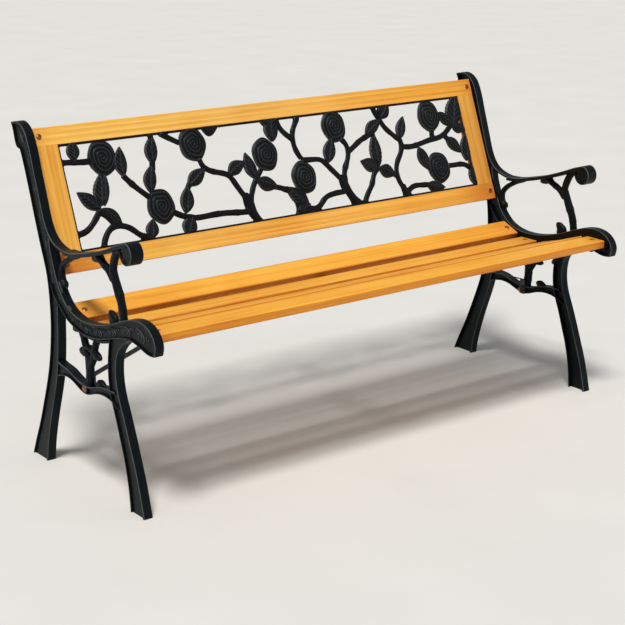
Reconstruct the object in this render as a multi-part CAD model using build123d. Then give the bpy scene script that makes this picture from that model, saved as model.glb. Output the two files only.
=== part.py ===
from build123d import *
from math import atan2, cos, radians, sin
import os

# Garden bench: two cast-iron ends, five timber seat slats, and a timber back frame
# around an openwork rose panel. Millimetres. X runs along the bench, -Y is the side
# one sits down from, +Z is up. The origin is on the ground, at mid length and mid depth.

# ---- driving dimensions ----
LENGTH = 1270.0           # over the outer faces of the end castings
FLANGE_WIDTH = 20.5       # casting flange, along X
FLANGE_THICK = 5.5
RIM_THICK = 3.5           # raised rim along the rear and lower edges
RIM_WIDTH = 20.5
WEB_FROM, WEB_TO = 4.0, 13.0        # web, as depths in from the outer face
WALL_FROM = 15.0          # inner wall beside the timber ends
LEDGE_WIDTH = 24.5        # how far the bolting ledges reach past the flange
LEDGE_THICK = 5.0
LEDGE_END = 10.0          # how far past the front slat's middle the ledge runs
TWIG_FROM, TWIG_TO = 3.0, 19.0      # twigs and buds

ARM_FROM, ARM_TO = -1.0, 28.0
ARM_STEP = 0.4            # arm top below the end of the post flange
ARM_THICK = 9.0
KNOB_RADIUS = 22.5
KNOB_CENTRE = (-176.0, 533.0)
KNOB_FROM, KNOB_TO = -1.0, 28.0

TIMBER_THICK = 18.0
TIMBER_GAP = 2.0          # between the timber's end and the casting
TIMBER_LENGTH = LENGTH - 2 * FLANGE_WIDTH - 2 * TIMBER_GAP
SLAT_EDGE = 2.5           # rounding of the long edges
FRAME_EDGE = 0.8          # the back frame's, which meet in tight joints

BACK_FOOT = (116.0, 432.0)          # front lower edge of the back frame, (y, z)
BACK_HEAD = (225.2, 721.0)          # front upper edge
BACK_HEIGHT = 309.0
BACK_RAIL = 39.5
STILE_WIDTH = 50.0
TENON_LENGTH, TENON_WIDTH, TENON_THICK = 26.0, 20.0, 5.0     # in line with the panel groove
TENON_INSET = 28.5        # centre of the tenon, in from the rail's end

PANEL_DEPTH = 3.0         # front of the panel plate, behind the frame's front face
PANEL_THICK = 5.0
PANEL_TONGUE = 5.0        # held in a groove all round
PANEL_RIM = 5.0           # seen inside the frame
STEM_WIDTH = 14.0

SLAT_WIDTH = 55.0
# centre of the top face (y, z) and its tilt, rear slat first
SLATS = [(59.0, 367.5, 23.5), (-4.5, 348.2, 0.0), (-83.0, 357.5, -14.0),
         (-154.5, 378.9, -17.9), (-225.0, 389.0, 1.5)]

SEAT_BOLT_INSET = 13.0    # from the timber end
BACK_BOLT_INSET = 12.0
BOLT_RADIUS = 3.0
BOLT_HEAD_RADIUS = 6.0
BOLT_HEAD_HEIGHT = 2.4
BOLT_HEAD_SINK = 1.6
HOLE_RADIUS = 3.3
WASHER_RADIUS, WASHER_THICK = 7.0, 1.4
NUT_ACROSS, NUT_THICK = 10.0, 5.0

STRETCHER_BOLT = (12.0, 215.5)
STRETCHER_BOLT_RADIUS = 4.0
STRETCHER_HEAD_RADIUS = 7.5
STRETCHER_WASHER_RADIUS = 8.5
STRETCHER_NUT_ACROSS, STRETCHER_NUT_THICK = 13.0, 6.5
BOSS_RADIUS = 11.0

BAR_WIDTH, BAR_THICK = 25.0, 4.0
BAR_END = 10.0            # how far past the front slat's middle the bar runs
BRACE_WIDTH, BRACE_THICK = 16.0, 3.0
BRACE_FOOT = 12.0         # the brace's end, below its bolt
BRACE_BEND = 26.0         # where it leaves the stretcher, above its bolt
BRACE_REACH = 268.0       # from the stretcher to where it meets the seat
BRACE_TAB = 32.0          # held flat under the middle slat
SCREW_RADIUS, SCREW_HEAD_RADIUS, SCREW_HEAD_HEIGHT = 1.9, 4.2, 2.4
SCREW_BITE = 10.0         # how far a screw runs into a slat

# ---- outlines of an end casting, (y, z), seen along X ----
POST_AND_ARM = [(274.0, 730.0), (252.0, 735.0), (230.0, 729.0), (215.5, 717.0), (206.5, 702.0),
                (197.0, 679.0), (188.5, 652.0), (176.0, 614.0), (163.5, 576.0), (151.0, 541.0),
                (138.0, 520.0), (122.0, 506.0), (101.0, 497.5), (75.0, 492.5), (42.0, 494.0),
                (5.0, 501.0), (-38.0, 511.0), (-80.0, 523.0), (-125.0, 538.5), (-158.0, 550.5),
                (-177.0, 555.5)]
POST_CORNER = 10          # the first points above are the post, down to this one
ARM_START = 13            # and the arm proper from this one
POST_REAR = [(274.0, 727.0), (265.5, 706.0), (253.5, 681.0), (240.0, 678.0)]
LEG_REAR = [(241.0, 678.0), (230.0, 652.0), (217.0, 616.0), (201.0, 567.0), (184.5, 518.0),
            (167.5, 471.0), (156.0, 440.0), (149.0, 407.0), (146.0, 370.0), (146.0, 331.0),
            (153.0, 275.0), (167.0, 217.0), (180.0, 181.0), (199.0, 135.0), (222.0, 83.0),
            (246.0, 36.0), (266.5, -8.0)]
SEAT_TOP = [(135.0, 512.0), (132.0, 488.0), (124.0, 461.0), (111.0, 429.0), (97.0, 403.0),
            (78.0, 383.0), (57.0, 370.5), (30.0, 363.0), (0.0, 360.5), (-35.0, 363.0),
            (-74.0, 370.5), (-108.0, 380.5), (-142.0, 393.0), (-177.0, 404.5), (-205.0, 409.5),
            (-230.0, 408.5), (-252.0, 400.5), (-266.0, 388.0), (-273.0, 370.5), (-269.0, 353.0)]
SEAT_UNDER = [(139.0, 410.0), (124.0, 384.0), (103.0, 366.0), (80.0, 351.0), (51.0, 339.5),
              (18.0, 332.0), (-22.0, 332.0), (-63.0, 337.5), (-103.0, 348.5), (-143.0, 358.5),
              (-181.0, 363.0), (-205.0, 359.5), (-227.0, 354.0), (-249.0, 350.0), (-268.0, 351.5)]
BACK_LEG_FRONT = [(112.0, 368.0), (114.5, 335.0), (117.0, 300.0), (122.0, 255.0), (132.0, 206.0),
                  (147.0, 163.0), (163.0, 121.0), (178.0, 78.0), (189.5, 38.0), (198.0, -8.0)]
FRONT_LEG_FRONT = [(-181.0, 363.5), (-159.0, 353.0), (-139.0, 337.5), (-126.0, 320.0),
                   (-119.5, 296.0), (-119.0, 268.0), (-126.0, 236.0), (-141.0, 200.0),
                   (-156.0, 162.0), (-171.0, 122.0), (-186.0, 80.0), (-198.0, 38.0), (-209.0, -8.0)]
FRONT_LEG_REAR = [(-99.0, 350.0), (-92.0, 315.0), (-88.5, 283.0), (-89.5, 252.0), (-97.0, 220.0),
                  (-109.0, 190.0), (-123.0, 150.0), (-136.0, 112.0), (-145.5, 75.0),
                  (-152.0, 36.0), (-155.0, -8.0)]
STRETCHER_TOP = [(128.0, 246.0), (104.0, 241.5), (80.0, 238.0), (57.0, 230.5), (38.0, 225.5),
                 (16.0, 223.0), (-4.0, 223.0), (-22.0, 227.0), (-45.0, 234.0), (-62.0, 237.0),
                 (-84.0, 238.5), (-112.0, 240.0)]
STRETCHER_UNDER = [(140.0, 208.0), (115.0, 216.5), (92.0, 220.5), (68.0, 219.0), (45.0, 212.0),
                   (24.0, 205.5), (3.0, 204.5), (-26.0, 213.0), (-55.0, 219.5), (-80.0, 219.5),
                   (-101.0, 215.0), (-120.0, 206.0)]

# twigs: centre line and width
ARM_TWIGS = [
    ([(-145.0, 536.0), (-127.0, 525.0), (-115.0, 507.0), (-108.0, 486.0)], 18.0),
    ([(-50.0, 505.0), (-74.0, 493.0), (-95.0, 483.0), (-112.0, 467.0)], 15.0),
    ([(-105.0, 494.0), (-116.0, 470.0), (-127.0, 446.0), (-137.0, 421.0), (-144.0, 388.0)], 19.0),
]
ARM_BRACKET = ([(24.0, 491.0), (54.0, 481.0), (80.0, 468.0), (97.0, 455.0), (104.0, 438.0),
                (100.0, 422.0), (90.0, 415.0)], 12.5)
SPRAY_TWIGS = [
    ([(8.0, 214.0), (4.0, 240.0), (3.0, 262.0), (6.0, 285.0)], 23.0),
    ([(8.0, 283.0), (14.0, 300.0), (22.0, 318.0), (30.0, 336.0)], 15.0),
    ([(4.0, 262.0), (-14.0, 284.0), (-19.0, 303.0), (-28.0, 322.0), (-40.0, 340.0)], 13.0),
    ([(14.0, 301.0), (2.0, 304.0), (-12.0, 300.0), (-22.0, 298.0)], 11.0),
]
# buds and leaves: base, tip, width
CASTING_BUDS = [
    ((-66.0, 505.0), (-26.0, 494.0), 20.0),
    ((-115.0, 383.0), (-88.0, 401.0), 22.0),
    ((-112.0, 386.0), (-90.0, 378.0), 24.0),
    ((104.0, 424.0), (86.0, 411.0), 10.0),
    ((-104.0, 312.0), (-74.0, 299.0), 17.0),
    ((-60.0, 231.0), (-26.0, 238.0), 21.0),
    ((-8.0, 296.0), (-48.0, 291.0), 20.0),
    ((6.0, 292.0), (42.0, 289.0), 22.0),
    ((30.0, 338.0), (66.0, 329.0), 17.0),
]
# raised leaves on the outer face of the seat rail and the post: base, tip, width
RELIEF_LEAVES = [
    ((-252.0, 368.0), (-222.0, 390.0), 13.0), ((-205.0, 372.0), (-177.0, 389.0), 12.0),
    ((-160.0, 366.0), (-134.0, 381.0), 11.0), ((-118.0, 357.0), (-92.0, 369.0), 10.0),
    ((-76.0, 346.0), (-48.0, 357.0), 10.0), ((-30.0, 340.0), (0.0, 351.0), 10.0),
    ((16.0, 342.0), (46.0, 354.0), 10.0), ((62.0, 352.0), (86.0, 372.0), 10.0),
    ((122.0, 415.0), (134.0, 452.0), 12.0), ((146.0, 485.0), (150.0, 522.0), 12.0),
    ((164.0, 540.0), (176.0, 578.0), 12.0), ((188.0, 596.0), (196.0, 634.0), 12.0),
    ((208.0, 654.0), (220.0, 700.0), 14.0),
]
RELIEF_HEIGHT = 2.5

# ---- layout of the rose panel on the back plane: x, and height above the frame's foot ----
ROSES = [(-464, 230), (-348, 109), (-235, 235), (-50, 190), (44, 125), (160, 234), (457, 229), (454, 99)]
ROSE_HALF_WIDTH, ROSE_HALF_HEIGHT = 34.5, 39.5
ROSE_TIERS = [(1.0, 6.6), (0.74, 8.4), (0.46, 10.0)]    # share of the size, height of the tier
STEMS = [
    [(-566, 230), (-543, 229), (-518, 227), (-488, 226)],
    [(-425, 188), (-409, 168), (-391, 149), (-369, 130)],
    [(-566, 75), (-540, 80), (-517, 97), (-498, 119)],
    [(-506, 43), (-496, 63), (-479, 79), (-452, 80), (-431, 70), (-413, 54), (-392, 46)],
    [(-336, 271), (-339, 246)],
    [(-344, 214), (-350, 188)],
    [(-312, 267), (-290, 253), (-268, 241)],
    [(-326, 95), (-300, 81), (-268, 72), (-220, 73), (-170, 70), (-129, 67)],
    [(-273, 139), (-263, 151)],
    [(-227, 201), (-221, 183), (-205, 171), (-178, 162), (-160, 154), (-146, 132), (-131, 103)],
    [(-116, 86), (-110, 104), (-99, 124), (-84, 142), (-68, 160)],
    [(-44, 113), (-24, 107), (0, 95)],
    [(0, 269), (6, 246), (20, 228), (34, 216)],
    [(62, 269), (50, 250), (40, 234), (35, 214), (36, 194), (47, 169)],
    [(47, 165), (79, 163), (103, 158), (121, 140), (139, 118), (152, 101)],
    [(40, 51), (66, 51), (90, 69), (116, 76), (150, 77)],
    [(172, 203), (184, 187), (184, 163), (174, 143), (162, 121), (158, 97)],
    [(186, 169), (202, 177), (228, 191), (260, 203)],
    [(288, 271), (292, 253), (302, 235)],
    [(302, 233), (310, 217), (327, 199), (345, 183)],
    [(345, 191), (351, 171), (345, 151), (329, 131), (319, 109), (319, 85), (331, 57), (338, 43)],
    [(349, 164), (378, 160), (411, 164), (446, 170), (480, 174), (504, 186), (524, 201)],
    [(456, 194), (452, 170)],
    [(483, 100), (513, 99), (538, 96), (556, 84), (566, 70)],
    [(342, 55), (362, 63), (388, 63), (411, 61)],
    [(204, 45), (218, 65), (236, 85), (250, 109), (264, 121)],
    [(271, 195), (269, 211)],
    [(306, 98), (320, 100)],
    [(489, 180), (503, 163)],
    [(-500, 118), (-484, 106), (-472, 90)],
]
# leaves: base, tip, width
LEAVES = [
    ((-531, 230), (-528, 277), 30), ((-423, 183), (-418, 250), 31), ((-494, 120), (-541, 165), 32),
    ((-492, 127), (-478, 198), 37), ((-483, 127), (-466, 197), 22), ((-492, 124), (-451, 82), 28),
    ((-388, 42), (-376, 85), 31), ((-346, 201), (-333, 267), 31), ((-366, 140), (-348, 203), 31),
    ((-299, 37), (-276, 80), 37), ((-290, 84), (-272, 146), 34), ((-269, 144), (-217, 179), 33),
    ((-159, 156), (-109, 181), 32), ((-88, 136), (-104, 201), 31), ((-88, 135), (-34, 111), 34),
    ((-21, 216), (-13, 278), 38), ((-45, 272), (-14, 256), 21), ((-205, 271), (-159, 268), 41),
    ((35, 61), (-13, 111), 29), ((44, 61), (4, 51), 26), ((120, 149), (146, 209), 34),
    ((250, 205), (304, 237), 30), ((301, 238), (336, 275), 34), ((349, 181), (375, 237), 28),
    ((403, 156), (421, 96), 32), ((490, 236), (534, 197), 28), ((525, 195), (554, 275), 50),
    ((524, 199), (568, 182), 27), ((497, 171), (535, 127), 30), ((549, 104), (562, 175), 35),
    ((563, 39), (557, 94), 30), ((403, 62), (459, 48), 30), ((267, 119), (217, 144), 34),
    ((266, 120), (272, 206), 34), ((268, 120), (312, 96), 34),
]
# trunks of the panel where three branches meet: left, then right outline
TRUNKS = [
    ([(-135, 110), (-135, 82), (-129, 60), (-114, 39)], [(-119, 110), (-107, 88), (-104, 66), (-89, 39)]),
    ([(144, 118), (143, 90), (156, 66), (166, 39)], [(163, 118), (170, 90), (182, 64), (214, 39)]),
    ([(-6, 110), (-2, 82), (4, 60), (-4, 39)], [(34, 97), (42, 81), (46, 61), (70, 39)]),
    ([(321, 72), (322, 60), (323, 50), (321, 39)], [(337, 72), (341, 60), (349, 50), (355, 39)]),
]


# ---- helpers ----
def offset_curve(points, distance, samples=30):
    """The smooth line through the points, moved to its left by the distance."""
    line = Spline(*points)
    moved = []
    for i in range(samples + 1):
        at, along = line @ (i / samples), line % (i / samples)
        moved.append((at.X - along.Y * distance, at.Y + along.X * distance))
    return Spline(*moved)


def between(first, second):
    """The face between two open lines that run the same way."""
    return make_face([first, Line(first @ 1, second @ 1), second, Line(second @ 0, first @ 0)])


def ribbon(points, start, end):
    """A strip that follows the points, from one offset to the other."""
    return between(offset_curve(points, start), offset_curve(points, end))


def lens(base, tip, width):
    """A leaf outline: two arcs from the base to the tip."""
    mid = Vector((base[0] + tip[0]) / 2, (base[1] + tip[1]) / 2)
    side = (Vector(*tip) - Vector(*base)).normalized().rotate(Axis.Z, 90) * (width / 2)
    return make_face([ThreePointArc(base, mid + side, tip), ThreePointArc(tip, mid - side, base)])


def across(face, start, end):
    """A face drawn in (y, z), given thickness along X."""
    return extrude(Plane.YZ.offset(start) * face, amount=end - start)


def polygon(points):
    return make_face(Polyline(*points, close=True))


def carriage_bolt(length, radius=BOLT_RADIUS, head=BOLT_HEAD_RADIUS, height=BOLT_HEAD_HEIGHT):
    """Domed head above the local XY plane, shank below it."""
    ball = (head**2 + height**2) / (2 * height)
    dome = Pos(0, 0, height - ball) * Sphere(ball) & Pos(0, 0, height) * Cylinder(head, 2 * height)
    return dome + Pos(0, 0, -length / 2 + 0.5) * Cylinder(radius, length + 1)


def ring(outer, inner, thick):
    return Cylinder(outer, thick) - Cylinder(inner, 2 * thick)


def hex_nut(across_flats, bore, thick):
    body = extrude(RegularPolygon(across_flats / 2, 6, major_radius=False), amount=thick)
    return body - Cylinder(bore, 4 * thick)


LEVEL_SLAT = SLATS[1]       # the one that the braces hold
BRACE_Y = STRETCHER_BOLT[0]
BRACE_TOP = LEVEL_SLAT[1] - TIMBER_THICK
CASTING_INNER = LENGTH / 2 - FLANGE_WIDTH
BRACE_SCREW_X = CASTING_INNER - BRACE_REACH - BRACE_TAB / 2


# ---- local planes of the timber ----
BACK_SLOPE = atan2(BACK_HEAD[0] - BACK_FOOT[0], BACK_HEAD[1] - BACK_FOOT[1])
back_plane = Plane(origin=(0, *BACK_FOOT), x_dir=(1, 0, 0), z_dir=(0, -cos(BACK_SLOPE), sin(BACK_SLOPE)))


def slat_plane(slat):
    y, z, tilt = slat
    return Plane(origin=(0, y, z), x_dir=(1, 0, 0), z_dir=(0, -sin(radians(tilt)), cos(radians(tilt))))


def on_slat(slat, along, down):
    """(y, z) of a point along the slat's width and down from its top."""
    point = slat_plane(slat).from_local_coords((0, along, -down))
    return (point.Y, point.Z)


def on_back(depth, height):
    """(y, z) of a point at a height up the back and a depth behind its front face."""
    point = back_plane.from_local_coords((0, height, -depth))
    return (point.Y, point.Z)


# ---- end casting, built with its outer face at x = 0 and its inside towards +x ----
def seat_ledge_line(down):
    line = []
    for slat in SLATS:
        line += [on_slat(slat, SLAT_WIDTH / 2, down), on_slat(slat, -SLAT_WIDTH / 2, down)]
    return line


def build_casting():
    ledge_to = FLANGE_WIDTH + LEDGE_WIDTH
    half_flange, half_rim = FLANGE_THICK / 2, RIM_THICK / 2
    flanges = [
        ribbon(POST_AND_ARM[:16], 0, FLANGE_THICK),
        ribbon(SEAT_TOP, 0, FLANGE_THICK),
        ribbon(BACK_LEG_FRONT, 0, FLANGE_THICK),
        ribbon(FRONT_LEG_FRONT, 0, FLANGE_THICK),
        ribbon(STRETCHER_TOP, 0, FLANGE_THICK - 1),
    ]
    rims = [
        ribbon(LEG_REAR, 0, -RIM_THICK),
        ribbon(SEAT_UNDER, 0, -RIM_THICK),
        ribbon(FRONT_LEG_REAR, 0, -RIM_THICK),
        ribbon(STRETCHER_UNDER, 0, -RIM_THICK),
    ]
    post_front = POST_AND_ARM[:POST_CORNER + 1] + SEAT_TOP[1:3]
    post_rear = POST_REAR + LEG_REAR[1:6]
    webs = [
        between(offset_curve(post_front, half_flange), offset_curve(post_rear, -half_rim)),
        between(offset_curve(SEAT_TOP[:6], half_flange), offset_curve(LEG_REAR[4:10], -half_rim)),
        between(offset_curve(SEAT_TOP[3:], half_flange), offset_curve(SEAT_UNDER, -half_rim)),
        between(offset_curve(BACK_LEG_FRONT, half_flange), offset_curve(LEG_REAR[8:], -half_rim)),
        between(offset_curve(FRONT_LEG_FRONT, half_flange), offset_curve(FRONT_LEG_REAR, -half_rim)),
        between(offset_curve(STRETCHER_TOP, half_rim), offset_curve(STRETCHER_UNDER, -half_rim)),
    ]
    twigs = [ribbon(line, -width / 2, width / 2)
             for line, width in ARM_TWIGS + SPRAY_TWIGS + [ARM_BRACKET]]
    twigs += [lens(*bud) for bud in CASTING_BUDS]
    pieces = [across(face, 0, FLANGE_WIDTH) for face in flanges]
    pieces += [across(face, 0, RIM_WIDTH) for face in rims]
    pieces += [across(face, WEB_FROM, WEB_TO) for face in webs]
    pieces += [across(face, TWIG_FROM, TWIG_TO) for face in twigs]
    pieces += [across(lens(*leaf), WEB_FROM - RELIEF_HEIGHT, WEB_FROM + 1) for leaf in RELIEF_LEAVES]

    arm = ribbon(POST_AND_ARM[ARM_START:], ARM_STEP, ARM_THICK)
    pieces.append(across(arm, ARM_FROM, ARM_TO))
    knob = Plane.YZ.offset(KNOB_FROM) * Pos(*KNOB_CENTRE) * Circle(KNOB_RADIUS)
    pieces.append(extrude(knob, amount=KNOB_TO - KNOB_FROM))

    # inner wall and ledge under the slats
    under, lower = seat_ledge_line(TIMBER_THICK), seat_ledge_line(TIMBER_THICK + LEDGE_THICK)
    wall_top = offset_curve(SEAT_TOP[4:18], half_flange)
    wall = make_face([wall_top, Polyline(wall_top @ 1, *reversed(lower), wall_top @ 0)])
    pieces.append(across(wall, WALL_FROM, FLANGE_WIDTH))
    front_end = [on_slat(SLATS[-1], -LEDGE_END, down) for down in (TIMBER_THICK, TIMBER_THICK + LEDGE_THICK)]
    ledge = polygon(under[:-1] + front_end + lower[-2::-1])
    pieces.append(across(ledge, WEB_FROM + 1, ledge_to))

    # inner wall and lug behind the back frame
    rear, depth = TIMBER_THICK, TIMBER_THICK + LEDGE_THICK - 0.5
    lug = polygon([on_back(rear, 0), on_back(rear, BACK_HEIGHT), on_back(depth, BACK_HEIGHT),
                   on_back(depth, 0)])
    side = polygon([on_back(-3, 0), on_back(-3.5, 60), on_back(-3.5, 290), on_back(-2, BACK_HEIGHT),
                    on_back(depth, BACK_HEIGHT), on_back(depth, 0)])
    pieces.append(across(lug, WEB_FROM + 1, ledge_to))
    pieces.append(across(side, WALL_FROM, FLANGE_WIDTH))

    # post head between the flange and the step in its rear edge
    head = ribbon([(274.0, 731.0)] + POST_REAR[1:], 0, -RIM_THICK)
    pieces.append(across(head, 0, RIM_WIDTH))
    boss = Plane.YZ * Pos(*STRETCHER_BOLT) * Circle(BOSS_RADIUS)
    pieces.append(extrude(boss, amount=FLANGE_WIDTH))

    casting = pieces[0].fuse(*pieces[1:])
    casting = casting & Pos(0, 0, 500) * Box(400, 1000, 1000)
    bore = Plane.YZ.offset(-5) * Pos(*STRETCHER_BOLT) * Circle(STRETCHER_BOLT_RADIUS + 0.3)
    casting -= extrude(bore, amount=FLANGE_WIDTH + 10)
    for slat in SLATS:
        at = slat_plane(slat) * Pos(FLANGE_WIDTH + TIMBER_GAP + SEAT_BOLT_INSET, 0, -TIMBER_THICK)
        casting -= at * Cylinder(HOLE_RADIUS, 4 * LEDGE_THICK)
    for height in (BACK_RAIL / 2, BACK_HEIGHT - BACK_RAIL / 2):
        at = back_plane * Pos(FLANGE_WIDTH + TIMBER_GAP + BACK_BOLT_INSET, height, -TIMBER_THICK)
        casting -= at * Cylinder(HOLE_RADIUS, 4 * LEDGE_THICK)
    return casting


# ---- timber ----
def board(width, height, length_x, radius):
    """A board with rounded long edges, its front face on the local XY plane."""
    body = Pos(0, 0, -TIMBER_THICK / 2) * Box(length_x, width, height)
    longest = Axis.X if length_x > width else Axis.Y
    return fillet(body.edges().filter_by(longest), radius)


def bolt_hole(inset, height):
    """Through hole and counterbore for a carriage bolt, at both ends."""
    tools = []
    for side in (-1, 1):
        at = Pos(side * (TIMBER_LENGTH / 2 - inset), height, 0)
        tools.append(at * Cylinder(HOLE_RADIUS, 3 * TIMBER_THICK))
        tools.append(at * Cylinder(BOLT_HEAD_RADIUS + 0.6, 2 * BOLT_HEAD_SINK))
    return tools


def build_slat(slat):
    body = board(SLAT_WIDTH, TIMBER_THICK, TIMBER_LENGTH, SLAT_EDGE)
    for tool in bolt_hole(SEAT_BOLT_INSET, 0):
        body -= tool
    screw_hole = Pos(0, 0, -TIMBER_THICK) * Cylinder(SCREW_RADIUS, 2 * SCREW_BITE)
    body -= screw_hole
    if slat is LEVEL_SLAT:
        for side in (-1, 1):
            body -= Pos(side * BRACE_SCREW_X, BRACE_Y - slat[0]) * screw_hole
    return slat_plane(slat) * body


OPENING_WIDTH = TIMBER_LENGTH - 2 * STILE_WIDTH
OPENING_HEIGHT = BACK_HEIGHT - 2 * BACK_RAIL
MIDDLE = BACK_HEIGHT / 2
groove = Pos(0, MIDDLE, -PANEL_DEPTH - PANEL_THICK / 2) * Box(
    OPENING_WIDTH + 2 * PANEL_TONGUE, OPENING_HEIGHT + 2 * PANEL_TONGUE, PANEL_THICK)


def tenon(side, end, grow=0.0):
    """Where a stile runs into a rail; grow gives the mortise its end clearance."""
    centre_x = side * (TIMBER_LENGTH / 2 - TENON_INSET)
    centre_y = MIDDLE + end * (OPENING_HEIGHT / 2 + TENON_LENGTH / 2 + grow / 2 - 1)
    depth = PANEL_DEPTH + PANEL_THICK / 2
    return Pos(centre_x, centre_y, -depth) * Box(TENON_WIDTH, TENON_LENGTH + grow + 2, TENON_THICK)


def build_rail(end):
    height = MIDDLE + end * (MIDDLE - BACK_RAIL / 2)
    rail = Pos(0, height, 0) * board(BACK_RAIL, TIMBER_THICK, TIMBER_LENGTH, FRAME_EDGE)
    for tool in bolt_hole(BACK_BOLT_INSET, height):
        rail -= tool
    for side in (-1, 1):
        rail -= tenon(side, end, 1.0)
    return back_plane * (rail - groove)


def build_stile(side):
    x = side * (TIMBER_LENGTH - STILE_WIDTH) / 2
    stile = Pos(x, MIDDLE, 0) * board(OPENING_HEIGHT, TIMBER_THICK, STILE_WIDTH, FRAME_EDGE)
    stile = (stile - groove) + tenon(side, 1) + tenon(side, -1)
    return back_plane * stile


# ---- rose panel ----
def build_panel():
    outer = Pos(0, MIDDLE) * Rectangle(OPENING_WIDTH + 2 * PANEL_TONGUE, OPENING_HEIGHT + 2 * PANEL_TONGUE)
    inner = Pos(0, MIDDLE) * Rectangle(OPENING_WIDTH - 2 * PANEL_RIM, OPENING_HEIGHT - 2 * PANEL_RIM)
    opening = Pos(0, MIDDLE) * Rectangle(OPENING_WIDTH - 0.6, OPENING_HEIGHT - 0.6)
    plate = [ribbon(stem, -STEM_WIDTH / 2, STEM_WIDTH / 2) if len(stem) > 2 else
             ribbon([stem[0], ((stem[0][0] + stem[1][0]) / 2, (stem[0][1] + stem[1][1]) / 2), stem[1]],
                    -STEM_WIDTH / 2, STEM_WIDTH / 2) for stem in STEMS]
    plate += [between(Spline(*left), Spline(*right)) for left, right in TRUNKS]
    plate += [lens(*leaf) for leaf in LEAVES]
    plate += [Pos(x, s) * Ellipse(ROSE_HALF_WIDTH, ROSE_HALF_HEIGHT) for x, s in ROSES]
    level = Pos(0, 0, -PANEL_DEPTH - PANEL_THICK)
    ornament = extrude(level * plate[0], amount=PANEL_THICK)
    ornament = ornament.fuse(*[extrude(level * face, amount=PANEL_THICK) for face in plate[1:]])
    tiers = []
    for x, s in ROSES:
        for share, height in ROSE_TIERS:
            tier = Pos(x, s) * Ellipse(ROSE_HALF_WIDTH * share, ROSE_HALF_HEIGHT * share)
            tiers.append(extrude(level * tier, amount=height))
    ornament = ornament.fuse(*tiers)
    ornament = ornament & extrude(Pos(0, 0, -TIMBER_THICK) * opening, amount=TIMBER_THICK)
    frame = extrude(level * (outer - inner), amount=PANEL_THICK)
    return back_plane * (frame + ornament)


# ---- steelwork ----
def build_support_bar():
    """A flat strip bent to the underside of the slats, from the rear slat to the front one."""
    lines = []
    for down in (TIMBER_THICK, TIMBER_THICK + BAR_THICK):
        lines.append(seat_ledge_line(down)[:-1] + [on_slat(SLATS[-1], -BAR_END, down)])
    bar = Pos(-BAR_WIDTH / 2, 0, 0) * across(polygon(lines[0] + lines[1][::-1]), 0, BAR_WIDTH)
    for slat in SLATS:
        at = slat_plane(slat) * Pos(0, 0, -TIMBER_THICK)
        bar -= at * Cylinder(SCREW_RADIUS + 0.2, 4 * BAR_THICK)
    return bar


def build_brace():
    """The left brace, a flat strip: up the stretcher's inner face, then sloping to the seat."""
    foot_x, bolt_z = -CASTING_INNER, STRETCHER_BOLT[1]
    top_x = foot_x + BRACE_REACH
    upper = [(foot_x, bolt_z - BRACE_FOOT), (foot_x, bolt_z + BRACE_BEND),
             (top_x, BRACE_TOP), (top_x + BRACE_TAB, BRACE_TOP)]
    lower = [(foot_x + BRACE_THICK, bolt_z - BRACE_FOOT),
             (foot_x + BRACE_THICK, bolt_z + BRACE_BEND - BRACE_THICK / 2),
             (top_x + 1, BRACE_TOP - BRACE_THICK), (top_x + BRACE_TAB, BRACE_TOP - BRACE_THICK)]
    strip = extrude(Plane.XZ * polygon(upper + lower[::-1]), amount=BRACE_WIDTH)
    strip = Pos(0, BRACE_Y + BRACE_WIDTH / 2, 0) * strip
    bore = Plane.YZ.offset(foot_x - 5) * Pos(*STRETCHER_BOLT) * Circle(STRETCHER_BOLT_RADIUS + 0.3)
    strip -= extrude(bore, amount=20)
    strip -= Pos(-BRACE_SCREW_X, BRACE_Y, BRACE_TOP) * Cylinder(SCREW_RADIUS + 0.2, 20)
    return strip


def wood_screw(clamped):
    """Pan head on the local XY plane, shank upwards through the clamped steel into the wood."""
    length = clamped + SCREW_BITE - 0.5
    return (Pos(0, 0, length / 2) * Cylinder(SCREW_RADIUS, length)
            + Pos(0, 0, -SCREW_HEAD_HEIGHT / 2) * Cylinder(SCREW_HEAD_RADIUS, SCREW_HEAD_HEIGHT))


# ---- build everything ----
parts = {}
casting = build_casting()
parts["left_end_casting"] = Pos(-LENGTH / 2, 0, 0) * casting
parts["right_end_casting"] = mirror(parts["left_end_casting"], about=Plane.YZ)
parts["back_top_rail"] = build_rail(1)
parts["back_bottom_rail"] = build_rail(-1)
parts["back_left_stile"] = build_stile(-1)
parts["back_right_stile"] = build_stile(1)
parts["rose_panel"] = build_panel()
for number, slat in enumerate(SLATS, start=1):
    parts[f"seat_slat_{number}"] = build_slat(slat)

parts["seat_support_bar"] = build_support_bar()
parts["left_brace"] = build_brace()
parts["right_brace"] = mirror(parts["left_brace"], about=Plane.YZ)

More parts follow.
